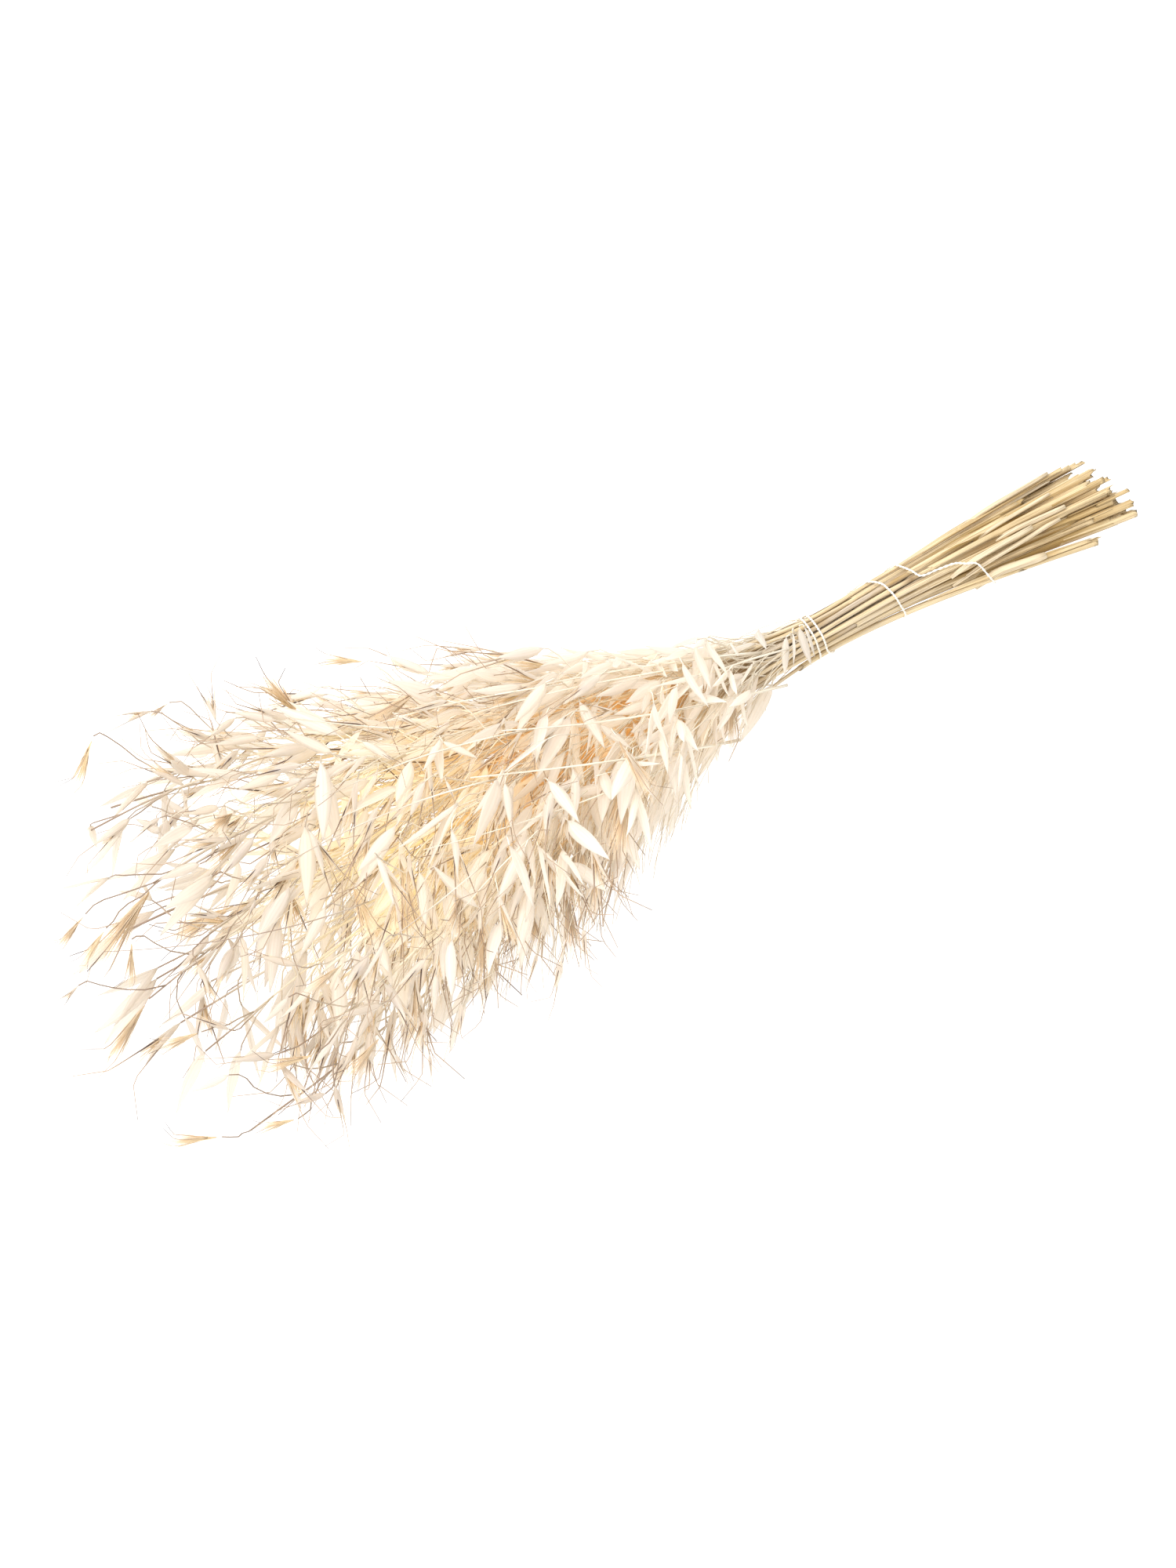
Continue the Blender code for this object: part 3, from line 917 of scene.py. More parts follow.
def huskFinish(thin):
    # The thin one is for the husks at the outside, which show what is behind.
    f = Finish("thin husk" if thin else "husk")
    grain = f.grain()
    across, along = f.split(grain)
    tint, depth = f.attribute("tint"), f.attribute("depth")
    lines = (across * (math.tau * husk["veins"])).cosine() * 0.5 + 0.5
    lines = lines**4.0
    paper = f.noise(f.scaled(grain, (5.0, 2.2, 1.0)), 1.0)
    fibre = f.noise(f.scaled(grain, (60.0, 3.0, 1.0)), 1.0)
    shade = f.spread(tint, 0.1, 0.9)
    outer = f.blendColour(shade, husk["outer"], husk["outerCream"])
    inner = f.blendColour(shade * 0.6, husk["pale"], husk["cream"])
    fringe = f.farShare(husk["turnsGrey"]) * f.spread(depth, 0.42, 0.12)
    far = f.farShare(straw["turnsPale"])
    paintedDeepLight = f.blendColour(far, husk["paintedDeepLight"], husk["paintedDeepLightFar"])
    glow = f.blendColour(far, husk["glow"], husk["glowFar"])
    body = f.coated(
        inner,
        (fringe, outer),
        (f.spread(paper, 0.5, 0.75) * 0.3, husk["cream"]),
        (f.spread(along, 0.20, 0.0) * 0.5, husk["base"]),
        (lines * 0.65, husk["vein"]),
        (f.spread(fibre, 0.52, 0.75) * 0.4, husk["vein"]),
        # painted light: a warm colour on the husks deep inside the heads
        (f.spread(depth, 0.35, 0.95) * 0.8, paintedDeepLight),
    )
    # painted light: a sheen that lifts the husks' shade in the heads, standing for light
    # coming through them, less on the grey outer husks
    through = f.farShare(husk["turnsLight"]) * (1.0 - fringe * 0.75)
    paintedSheen = f.blendColour(through, (0.0, 0.0, 0.0), husk["paintedSheen"])
    # painted light: an emission that makes the inner husks glow
    inside = f.spread(depth, 0.0, 0.8) * (1.0 - fringe)
    f.set(
        Base_Color=body,
        Roughness=0.5 + fibre * 0.15,
        Normal=f.bump(lines * 0.7 + fibre * 0.3, 0.6, 0.12 * mm),
        Emission_Color=f.blendColour(inside, paintedSheen, glow),
        Emission_Strength=1.0,
    )
    if thin:
        solid = f.spread(f.attribute("edge"), 1.0, 0.4) + lines * 0.35
        thickness = husk["opacity"] - husk["marginOpacity"]
        f.set(Alpha=(solid * thickness + husk["marginOpacity"]).clamped())
    f.seeThrough((*husk["light"], 1.0), husk["seeThrough"])
    return f.material


seed = {
    "light": (0.58, 0.41, 0.22),
    "brown": (0.38, 0.23, 0.12),
    "pale": (0.74, 0.60, 0.42),
}


def seedFinish():
    f = Finish("seed")
    grain = f.grain()
    _, along = f.split(grain)
    tint = f.attribute("tint")
    streaks = f.noise(f.scaled(grain, (40.0, 3.0, 1.0)), 1.0)
    body = f.coated(
        seed["light"],
        (f.spread(tint, 0.2, 1.0), seed["brown"]),
        (f.spread(streaks, 0.45, 0.7) * 0.6, seed["pale"]),
        (f.spread(along, 0.7, 1.0) * 0.7, seed["pale"]),
    )
    f.set(
        Base_Color=body,
        Roughness=0.45 + streaks * 0.2,
        Normal=f.bump(streaks, 0.4, 0.08 * mm),
    )
    return f.material


awn = {
    "pale": (0.50, 0.36, 0.25),
    "dark": (0.075, 0.040, 0.035),
    "turnsDark": (0.0, -0.13),
}


def awnFinish():
    f = Finish("awn")
    speckle = f.noise(f.scaled(f.grain(), (3.0, 60.0, 1.0)), 1.0)
    amount = (f.attribute("dark") * (0.6 + speckle * 0.8)).clamped()
    amount = amount * (f.farShare(awn["turnsDark"]) * 0.6 + 0.4)
    body = f.blendColour(amount, awn["pale"], awn["dark"])
    f.set(Base_Color=body, Roughness=0.4 + speckle * 0.2)
    return f.material


hair = {
    "root": (0.52, 0.36, 0.20),
    "tip": (0.78, 0.63, 0.45),
    # painted light: how strongly the hairs glow
    "glow": 0.30,
}


def hairFinish():
    f = Finish("hair")
    grain = f.grain()
    _, along = f.split(grain)
    shade = f.noise(f.scaled(grain, (9.0, 2.0, 1.0)), 1.0)
    body = f.blendColour((along + shade * 0.4).clamped(), hair["root"], hair["tip"])
    f.set(
        Base_Color=body,
        Roughness=0.4 + shade * 0.2,
        # painted light: the hairs glow in their own colour, lifting their shade
        Emission_Color=body,
        Emission_Strength=hair["glow"],
    )
    return f.material


cotton = {
    "light": (0.93, 0.90, 0.83),
    "shade": (0.78, 0.71, 0.58),
}


def cottonFinish():
    f = Finish("cotton")
    fibre = f.noise(f.scaled(f.grain(), (2500.0, 400.0, 1.0)), 1.0, 5.0)
    body = f.blendColour(f.spread(fibre, 0.45, 0.8), cotton["light"], cotton["shade"])
    f.set(
        Base_Color=body,
        Roughness=0.8 + fibre * 0.1,
        Normal=f.bump(fibre, 0.6, 0.08 * mm),
    )
    return f.material


finishes = [
    strawFinish(),
    huskFinish(False),
    seedFinish(),
    awnFinish(),
    hairFinish(),
    huskFinish(True),
]
strawSlot, huskSlot, seedSlot, awnSlot, hairSlot, thinHuskSlot = range(6)
cottonMaterial = cottonFinish()
print("materials made")


# Meshes that every stalk uses.
vertexValues = ("tint", "depth", "dark", "head", "edge")


def newObject(name, data):
    piece = bpy.data.objects.new(name, data)
    bpy.context.scene.collection.objects.link(piece)
    return piece


def newMesh():
    bm = bmesh.new()
    bm.loops.layers.uv.new("grain")
    for name in vertexValues:
        bm.verts.layers.float.new(name)
    return bm


def pour(bm, mesh):
    bm.from_mesh(mesh)
    bpy.data.meshes.remove(mesh)


def asMesh(bm, name):
    mesh = bpy.data.meshes.new(name)
    bm.to_mesh(mesh)
    bm.free()
    return mesh


def paint(bm, verts, **values):
    # Sets the values that the finishes read; one may depend on the place.
    for name, value in values.items():
        layer = bm.verts.layers.float[name]
        for vert in verts:
            vert[layer] = value(vert.co) if callable(value) else value


def tubeMesh(paths, slot, sides=0, darks=None, offset=0.0):
    # Closed tubes along paths of (point, radius); "grain" is in metres.
    curve = bpy.data.curves.new("tubes", "CURVE")
    curve.dimensions = "3D"
    curve.bevel_depth = 1.0
    curve.bevel_resolution = sides
    curve.use_fill_caps = True
    for path in paths:
        spline = curve.splines.new("POLY")
        spline.points.add(len(path) - 1)
        for point, (place, radius) in zip(spline.points, path):
            point.co = (*place, 1.0)
            point.radius = radius
    line = newObject("tubes", curve)
    graph = bpy.context.evaluated_depsgraph_get()
    mesh = bpy.data.meshes.new_from_object(line.evaluated_get(graph))
    bpy.data.objects.remove(line)
    bpy.data.curves.remove(curve)
    bm = bmesh.new()
    pour(bm, mesh)
    grain = bm.loops.layers.uv.new("grain")
    own = bm.loops.layers.uv["UVMap"]
    layers = {n: bm.verts.layers.float.new(n) for n in vertexValues}
    around = 2 * (sides + 2)
    bm.verts.ensure_lookup_table()
    bm.faces.ensure_lookup_table()
    spans = []
    start = 0
    for path in paths:
        length = sum((b - a).length for (a, _), (b, _) in zip(path, path[1:]))
        spans.append((start, start + around * len(path), length, path[0][1]))
        start += around * len(path)
    which = np.zeros(len(bm.verts), dtype=int)
    for k, (low, high, _, _) in enumerate(spans):
        which[low:high] = k
    bm.verts.index_update()
    for face in bm.faces:
        face.material_index = slot
        face.smooth = True
        for loop in face.loops:
            k = which[loop.vert.index]
            _, _, length, radius = spans[k]
            u, v = loop[own].uv
            shift = offset + k * 0.137
            loop[grain].uv = (v * math.tau * radius + shift, u * length + shift)
    if darks:
        for k, (low, high, _, _) in enumerate(spans):
            for n, vert in enumerate(bm.verts[low:high]):
                vert[layers["dark"]] = darks[k][n // around]
    bm.loops.layers.uv.remove(bm.loops.layers.uv["UVMap"])
    bmesh.ops.remove_doubles(bm, verts=bm.verts, dist=1e-6)
    bmesh.ops.recalc_face_normals(bm, faces=bm.faces)
    return asMesh(bm, "tubes")


# Spikelets, in their own lengths: base at the origin, pointing up Z, 1 long.
spikelet = {
    # name, how many, gape in degrees, size, width, husks, seeds
    "kinds": (
        ("closed", 4, (3, 8), 0.92, 0.78, 2, 2),
        ("open", 8, (8, 17), 1.00, 0.95, 2, 2),
        ("empty", 4, (10, 22), 1.12, 1.02, 2, 0),
        ("single", 4, (3, 9), 1.10, 1.05, 1, 0),
        ("tuft", 2, (0, 0), 1.00, 1.00, 0, 3),
    ),
    "seedLength": 0.30,
    "seedRadius": 0.020,
    "seedFlat": 0.8,
    "seedTapers": (0.35, 0.1),  # to its tip and to its base
    "seedPlaces": (0.07, 0.05),  # how high the first one sits, and each next one
    "hairs": 26,
    "tuftHairs": 30,
    "tuftStretch": 1.5,
    "hairSpan": (0.1, 0.9),
    "hairLeans": (1, 13),
    "hairLength": 0.42,
    "hairVaries": (0.6, 1.2),
    "hairRadius": 0.0048,
    "awnLengths": (0.92, 1.12),
    "awnStart": 0.16,
    "awnRadius": 0.0090,
    "awnTipShare": 0.38,
    "awnPoints": 9,
    "awnKnees": (0.56, 0.68),
    "awnBends": (0.3, 1.9),
    "awnDroop": 0.02,
}
boat = {
    # a husk laid out flat, then curled into a pointed boat
    "length": 0.62,
    "halfWidth": 0.070,
    "widthVaries": (0.85, 1.15),
    "columns": 4,
    "rows": 8,
    "thickness": 0.0018,
    "attach": 0.006,
    "curls": (-0.25, 0.35),
    "twists": (-0.5, 0.5),
    "wraps": (1.35, 0.75),
    "ripple": 0.007,
    "ripples": 9,
    "widest": 0.72,
    "steps": 40,
}


def addHusk(bm, draw, side, gape, size, wide):
    # A pointed boat of papery husk, grown from a grid.
    part = newMesh()
    bmesh.ops.create_grid(
        part, x_segments=boat["columns"], y_segments=boat["rows"], size=1.0
    )
    grain = part.loops.layers.uv["grain"]
    edge = part.verts.layers.float["edge"]
    shift = draw.randint(0, 40)
    for face in part.faces:
        face.smooth = True
        face.material_index = huskSlot
        for loop in face.loops:
            x, y = loop.vert.co.xy
            loop[grain].uv = ((x + 1) / 2 + shift, (y + 1) / 2 + shift * 0.5)
    length = boat["length"] * size
    halfWidth = boat["halfWidth"] * wide * draw.uniform(*boat["widthVaries"])
    curl = draw.uniform(*boat["curls"])
    twist = draw.uniform(*boat["twists"])
    ripple = draw.uniform(0, math.tau)
    middles = []
    place = Vector((boat["attach"], 0.0, 0.0))
    steps = boat["steps"]
    for n in range(steps + 1):
        along = n / steps
        angle = gape * (1.25 - 0.7 * along) + curl * (along - 0.35) ** 2
        middles.append((place.copy(), angle))
        place += Vector((math.sin(angle), 0.0, math.cos(angle))) * (length / steps)
    for vert in part.verts:
        across, along = vert.co.x, (vert.co.y + 1) / 2
        vert[edge] = abs(across)
        middle, angle = middles[round(along * steps)]
        width = max(0.03, math.sin(math.pi * along ** boat["widest"])) ** 0.9
        width = halfWidth * width
        wrap = mixed(*boat["wraps"], along)
        bend = wrap * across
        turned = twist * along**2
        outward = (math.cos(bend) - 1) * width / math.sin(wrap)
        wave = math.sin(boat["ripples"] * along + ripple)
        outward += boat["ripple"] * size * wave * across**2
        aside = math.sin(bend) * width / math.sin(wrap)
        fold = outward * math.cos(turned) - aside * math.sin(turned)
        aside = outward * math.sin(turned) + aside * math.cos(turned)
        vert.co = (
            (middle.x + fold * math.cos(angle)) * side,
            aside,
            middle.z - fold * math.sin(angle),
        )
    bmesh.ops.recalc_face_normals(part, faces=part.faces)
    bmesh.ops.solidify(part, geom=part.faces[:], thickness=boat["thickness"])
    bmesh.ops.recalc_face_normals(part, faces=part.faces)
    pour(bm, asMesh(part, "part"))


def addSeed(bm, draw, tilt, roll, low):
    # A seed in its hairy inner husk.
    part = newMesh()
    bmesh.ops.create_uvsphere(part, u_segments=6, v_segments=5, radius=1.0)
    grain = part.loops.layers.uv["grain"]
    shift = draw.uniform(0, 50)
    for face in part.faces:
        face.smooth = True
        face.material_index = seedSlot
        for loop in face.loops:
            x, y, z = loop.vert.co
            loop[grain].uv = (math.atan2(y, x) / math.tau + shift, (z + 1) / 2)
    half, radius = spikelet["seedLength"] / 2, spikelet["seedRadius"]
    toTip, toBase = spikelet["seedTapers"]
    for vert in part.verts:
        x, y, z = vert.co
        slim = 1.0 - toTip * max(0.0, z) - toBase * max(0.0, -z)
        flat = x * radius * slim * spikelet["seedFlat"]
        vert.co = (flat, y * radius * slim, (z + 1) * half)
    turn = Matrix.Rotation(roll, 4, "Z") @ Matrix.Rotation(tilt, 4, "Y")
    place = Matrix.Translation((0.0, 0.0, low)) @ turn
    bmesh.ops.transform(part, matrix=place, verts=part.verts)
    pour(bm, asMesh(part, "part"))
    return place


def addHairs(bm, draw, place, count, stretch):
    # A brush of hairs that fans out from a seed towards the husk's tip.
    part = newMesh()
    grain = part.loops.layers.uv["grain"]
    for _ in range(count):
        height = spikelet["seedLength"] * draw.uniform(*spikelet["hairSpan"])
        around = draw.uniform(0, math.tau)
        lean = math.radians(draw.uniform(*spikelet["hairLeans"]))
        varied = draw.uniform(*spikelet["hairVaries"])
        length = spikelet["hairLength"] * varied * stretch
        spin = Matrix.Rotation(around, 4, "Z")
        out = Matrix.Translation((spikelet["seedRadius"] * 0.6, 0.0, height))
        stand = Matrix.Rotation(lean, 4, "Y") @ Matrix.Translation((0, 0, length / 2))
        first = len(part.faces)
        bmesh.ops.create_cone(
            part,
            cap_ends=True,
            segments=3,
            radius1=spikelet["hairRadius"],
            radius2=0.0,
            depth=length,
            matrix=place @ spin @ out @ stand,
        )
        part.faces.ensure_lookup_table()
        shift = draw.uniform(0, 30)
        for face in part.faces[first:]:
            face.material_index = hairSlot
            for loop in face.loops:
                up = (place.inverted() @ loop.vert.co).z - height
                loop[grain].uv = (shift, up / length)
    pour(bm, asMesh(part, "part"))


def awnPath(draw, place, awnLength):
    # Twisted and straight up to its knee, then bent aside.
    points = []
    out = spikelet["seedRadius"] * spikelet["seedFlat"]
    spot = place @ Vector((out, 0.0, spikelet["awnStart"]))
    heading = (place.to_3x3() @ Vector((0.10, 0.0, 1.0))).normalized()
    sideways = Vector((draw.uniform(-1, 1), draw.uniform(-1, 1), draw.uniform(-0.3, 0.2)))
    knee = draw.uniform(*spikelet["awnKnees"])
    bend = draw.uniform(*spikelet["awnBends"])
    bent = (heading + sideways.normalized() * bend).normalized()
    droop = Vector((draw.uniform(-1, 1), draw.uniform(-1, 1), 0.0))
    droop *= spikelet["awnDroop"]
    count = spikelet["awnPoints"]
    darks = []
    for n in range(count):
        share = n / (count - 1)
        if share <= knee:
            here = spot + heading * awnLength * share
        else:
            past = share - knee
            here = spot + heading * awnLength * knee + bent * awnLength * past
            here += droop * past**2
        thin = mixed(1.0, spikelet["awnTipShare"], share)
        points.append((here, spikelet["awnRadius"] * thin))
        near = max(0.0, 1.0 - abs(share - knee + 0.08) / 0.36)
        darks.append(min(1.0, 0.15 + near * 1.3))
    return points, darks


def makeSpikelet(number, kind):
    # One of the kinds that the stalks repeat, as a mesh.
    name, _, gapes, size, wide, husks, seeds = kind
    draw = random.Random(4200 + number)
    bm = newMesh()
    gape = math.radians(draw.uniform(*gapes))
    if husks:
        addHusk(bm, draw, 1, gape, size, wide)
    if husks > 1:
        other = gape * draw.uniform(0.5, 1.2)
        addHusk(bm, draw, -1, other, size * draw.uniform(0.88, 1.0), wide)
    awns = []
    low, step = spikelet["seedPlaces"]
    for n in range(seeds):
        tilt = math.radians(draw.uniform(1, 6) + math.degrees(gape) * 0.3)
        roll = math.tau * n / seeds + draw.uniform(-0.6, 0.6)
        place = addSeed(bm, draw, tilt, roll, low + step * n)
        tuft = name == "tuft"
        hairs = spikelet["tuftHairs"] if tuft else spikelet["hairs"] // 2
        stretch = spikelet["tuftStretch"] if tuft else 1.0
        addHairs(bm, draw, place, hairs, stretch)
        length = draw.uniform(*spikelet["awnLengths"]) / stretch**0.5
        awns.append(awnPath(draw, place, length))
    if awns:
        pour(bm, tubeMesh([a[0] for a in awns], awnSlot, 0, [a[1] for a in awns]))
    reach = max(1.0, max(vert.co.z for vert in bm.verts))
    bmesh.ops.scale(bm, vec=(1 / reach, 1 / reach, 1 / reach), verts=bm.verts)
    return asMesh(bm, f"spikelet{number}")


spikelets = []
kindNumbers = {}
for kind in spikelet["kinds"]:
    first = len(spikelets)
    kindNumbers[kind[0]] = range(first, first + kind[1])
    spikelets += [makeSpikelet(first + n, kind) for n in range(kind[1])]
spikeletPoints = []
for mesh in spikelets:
    points = np.zeros(len(mesh.vertices) * 3)
    mesh.vertices.foreach_get("co", points)
    spikeletPoints.append(points.reshape(-1, 3))
faceCounts = [len(mesh.polygons) for mesh in spikelets]
print("spikelet kinds:", len(spikelets), "faces each:", faceCounts)


# One stalk.
stem = {
    "ringStep": 7 * mm,
    "sides": 2,
    "waver": 0.22 * mm,
    "waves": (70, 83),  # radians a metre, in Y and in Z
    "swells": 310,
    "swellShare": 0.04,
    "steadyTip": 0.03,
    "wallShare": 0.42,
    "boreDepth": 9 * mm,
    "slant": 1.3,
    "slants": (0.1, 1.0),
    "fray": 1.6 * mm,
    "frayedShare": 0.35,
    "knotEvery": 4,
    "knotRuns": (0.04, 0.13),
    "knotSwell": 1.22,
    "knotDark": 0.85,
}
strip = {
    "columns": 4,
    "rows": 14,
    "thickness": 0.09 * mm,
    "ragged": 7 * mm,
    # half of the way round the stem, how loose, length, first run
    "sheath": {
        "cover": math.radians(125),
        "loose": (0.25 * mm, 0.45 * mm),
        "flare": 0.6,
        "flareRun": -0.105,
        "lengths": (60 * mm, 150 * mm),
        "starts": (-3 * mm, 6 * mm),
        "lastStart": -0.070,
        "turns": (-8, 8),
        "last": 0.030,
        "shareAtCut": 0.75,
    },
    "lip": {
        "perStalk": 2,
        "cover": math.radians(48),
        "loose": (0.15 * mm, 0.45 * mm),
        "flare": 0.5,
        "flareRun": -0.115,
        "lengths": (22 * mm, 60 * mm),
        "starts": (-11 * mm, -2 * mm),
        "lastStart": -0.070,
        "turns": (-8, 8),
        "last": -0.050,
        "shareAtCut": 1.0,
    },
    "blade": {
        "perStalk": 3,
        "cover": math.radians(50),
        "halfWidths": (1.2 * mm, 2.7 * mm),
        "lengths": (70 * mm, 165 * mm),
        "asides": (1.6 * mm, 3.2 * mm),
        "inward": 0.64,
        "turns": (-14, 14),
        "heads": (-1, 0.5),
        "last": 0.055,
        "startSpan": 0.05,
        # how close it keeps at the neck, and the run where it is free
        "tightest": 0.3,
        "freeFrom": 0.09,
    },
}
stub = {
    # stalk, the pixels of its two ends, radius
    "places": (
        (5, 1246, 738, 1334, 708, 2.2 * mm),
        (11, 1214, 730, 1316, 672, 1.4 * mm),
        (17, 1262, 690, 1358, 646, 1.4 * mm),
        (23, 1240, 688, 1338, 630, 1.0 * mm),
        (29, 1216, 742, 1352, 662, 1.2 * mm),
        (2, 1226, 668, 1336, 604, 1.3 * mm),
    ),
    "sink": 0.3 * mm,
    # how far its first points lie between the stems, in radii
    "dives": (4.0, 2.2, 0.8),
    "points": 9,
    "ends": 0.82,
}
shownStrand = {
    # the pixels of its start, a point that it bends towards and its end, radius
    "places": (
        (1004, 874, 810, 924, 640, 932, 0.80 * mm),
        (944, 944, 802, 972, 600, 992, 0.90 * mm),
        (850, 862, 826, 912, 884, 918, 0.40 * mm),
        (972, 832, 810, 848, 690, 874, 0.70 * mm),
        (1012, 826, 930, 846, 836, 886, 0.55 * mm),
        (930, 880, 880, 960, 760, 990, 0.50 * mm),
        (740, 870, 560, 892, 452, 934, 0.45 * mm),
        (680, 930, 540, 954, 420, 1014, 0.50 * mm),
        (860, 975, 700, 1046, 540, 1084, 0.50 * mm),
        (760, 1000, 650, 1080, 566, 1190, 0.45 * mm),
        (640, 992, 470, 1030, 330, 1124, 0.50 * mm),
        (470, 1150, 330, 1206, 132, 1214, 0.36 * mm),
        (900, 905, 830, 1010, 700, 1120, 0.40 * mm),
        (880, 852, 760, 866, 610, 908, 0.60 * mm),
        (620, 1100, 540, 1170, 440, 1240, 0.45 * mm),
        (520, 930, 420, 925, 300, 905, 0.40 * mm),
    ),
    "points": 14,
    "lift": 21 * mm,
    "thinTo": 0.42,
}
strand = {
    "perStalk": 23,
    "lengths": (45 * mm, 125 * mm),
    "radius": 0.26 * mm,
    "depthShare": 0.20,
    "points": 9,
    "outward": 2.2,
    "sideStray": 0.8,
    "spread": (5, 26),
    "stray": 0.13,
    "sag": 0.16,
    "tries": 4,
    # the run where the first one starts, and the share of the tip's for the last
    "firstRun": -0.012,
    "lastShare": 0.74,
    "thinTo": 0.45,
}
twig = {
    "rootRadius": 0.40 * mm,
    "endRadius": 0.34 * mm,
    "points": 7,
    "zigzag": 0.7 * mm,
    # the shares of its span that the curve's two handles take
    "leaves": 0.5,
    "arrives": 0.22,
    "stray": 1.5 * mm,
}
room = {
    "side": 4.0 * mm,
    "top": 1.5 * mm,
    "rolls": 10,
    # how far a husk may stand over the outline, near the neck and beyond
    "over": (1.5 * mm, 9.0 * mm),
    "overRuns": (0.12, 0.30),
    "shareOver": 0.06,
    "bareRun": 0.115,
    "bareSize": 0.78,
    "smallest": 0.6,
    "shownStray": 0.35,
}


def curveBetween(start, end, startSlope, endSlope, share):
    # A point on the curve that leaves and arrives with these slopes.
    s2, s3 = share**2, share**3
    return (
        start * (2 * s3 - 3 * s2 + 1)
        + startSlope * (s3 - 2 * s2 + share)
        + end * (3 * s2 - 2 * s3)
        + endSlope * (s3 - s2)
    )


def smoothPlace(i, run):
    # The stem's line with its corners rounded.
    k = int(np.clip(np.searchsorted(runs, run) - 1, 0, len(runs) - 2))
    share = (run - runs[k]) / (runs[k + 1] - runs[k])
    slopes = []
    for n in (k, k + 1):
        low, high = max(n - 1, 0), min(n + 1, len(runs) - 1)
        slopes.append((places[i, high] - places[i, low]) / (runs[high] - runs[low]))
    step = runs[k + 1] - runs[k]
    leaving, arriving = slopes[0] * step, slopes[1] * step
    y, z = curveBetween(places[i, k], places[i, k + 1], leaving, arriving, share)
    return Vector((-run, y, z))


def stemTube(i, draw):
    cut, tip = ends[i]
    count = round((tip - cut) / stem["ringStep"])
    knotRing = -1
    if i % stem["knotEvery"] == 1:
        knotRing = round(draw.uniform(*stem["knotRuns"]) / stem["ringStep"])
    phases = [draw.uniform(0, math.tau) for _ in range(4)]
    waveY, waveZ = stem["waves"]
    path, darks = [], []
    for n in range(count + 1):
        run = mixed(cut, tip, n / count)
        spot = smoothPlace(i, run)
        edge = min(1.0, (tip - run) / stem["steadyTip"])
        spot.y += math.sin(run * waveY + phases[0]) * stem["waver"] * edge
        spot.z += math.sin(run * waveZ + phases[1]) * stem["waver"] * edge
        radius = float(np.interp(run, runs, radii[i]))
        swell = math.sin(run * stem["swells"] + phases[2])
        radius *= 1 + stem["swellShare"] * swell
        if n == knotRing:
            radius *= stem["knotSwell"]
        spot.z = max(spot.z, radius + bundle["tableGap"])
        path.append((spot, radius))
        darks.append(stem["knotDark"] if n == knotRing else 0.0)
    bm = bmesh.new()
    pour(bm, tubeMesh([path], strawSlot, stem["sides"], [darks], i * 0.61))
    openCutEnd(bm, draw, path)
    return bm


def openCutEnd(bm, draw, path):
    # Straw is hollow: the cut end gets a wall, a bore and a slanted, frayed lip.
    (end, radius), (inner, _) = path[0], path[1]
    axis = (end - inner).normalized()
    cap = max(bm.faces, key=lambda f: f.calc_center_median().dot(axis))
    bmesh.ops.inset_individual(bm, faces=[cap], thickness=radius * stem["wallShare"])
    bore = bmesh.ops.extrude_face_region(bm, geom=[cap])
    floor = [v for v in bore["geom"] if isinstance(v, bmesh.types.BMVert)]
    bmesh.ops.delete(bm, geom=[cap], context="FACES_ONLY")
    bmesh.ops.translate(bm, vec=-axis * stem["boreDepth"], verts=floor)
    across = axis.orthogonal().normalized()
    across = Matrix.Rotation(draw.uniform(0, math.tau), 3, axis) @ across
    slope = draw.uniform(*stem["slants"]) * stem["slant"]
    frayed = draw.random() < stem["frayedShare"]
    for vert in bm.verts:
        offset = vert.co - end
        off = abs(offset.dot(axis)) > 0.1 * mm or offset.length > radius * 1.2
        if vert in floor or off:
            continue
        move = offset.dot(across) * slope - radius * slope
        if frayed:
            move -= draw.uniform(0, 1) * stem["fray"]
        vert.co += axis * move
    for face in bm.faces:
        face.smooth = True
    bmesh.ops.recalc_face_normals(bm, faces=bm.faces)


def twigPath(i, path, draw):
    # A thin branch from the stem to its spikelet, with small kinks.
    root = smoothPlace(i, -path[0][0].x)
    base = path[1][0]
    hanging = (path[2][0] - base).normalized()
    ahead = stemDirection(i, -root.x)
    span = (base - root).length
    lift = (ahead + (base - root).normalized()).normalized()
    first = root + lift * span * twig["leaves"]
    second = base - hanging * span * twig["arrives"] + unitNoise(draw) * twig["stray"]
    points = []
    count = twig["points"]
    for n in range(count):
        t = n / (count - 1)
        spot = (
            root * (1 - t) ** 3
            + first * 3 * t * (1 - t) ** 2
            + second * 3 * t**2 * (1 - t)
            + base * t**3
        )
        if 0 < n < count - 1:
            spot += unitNoise(draw) * twig["zigzag"]
        radius = mixed(twig["rootRadius"], twig["endRadius"], t)
        spot.z = max(spot.z, radius + bundle["tableGap"])
        points.append((spot, radius))
    return points


heads = {
    # how far they reach past their stems, and where they start and end
    "aside": 16 * mm,
    "above": 12 * mm,
    "starts": (0.01, 0.06),
    "ends": (0.36, 0.12),
    "fall": (1.15, 1.1),
}


def depthInside(point):
    # 1 in the middle of the heads and 0 at their outside and along the stems.
    run = -point.x
    middle = middleOfBundle(run)
    wide = float(np.interp(run, runs, halfWidths)) + heads["aside"]
    high = float(np.interp(run, runs, halfHeights)) + heads["above"]
    outer = math.hypot((point.y - middle.y) / wide, (point.z - middle.z) / high)
    (first, fadeIn), (last, fadeOut) = heads["starts"], heads["ends"]
    start = float(np.clip((run - first) / fadeIn, 0, 1))
    end = float(np.clip((last - run) / fadeOut, 0, 1))
    most, fall = heads["fall"]
    return float(np.clip(most - outer * fall, 0, 1)) * start * end


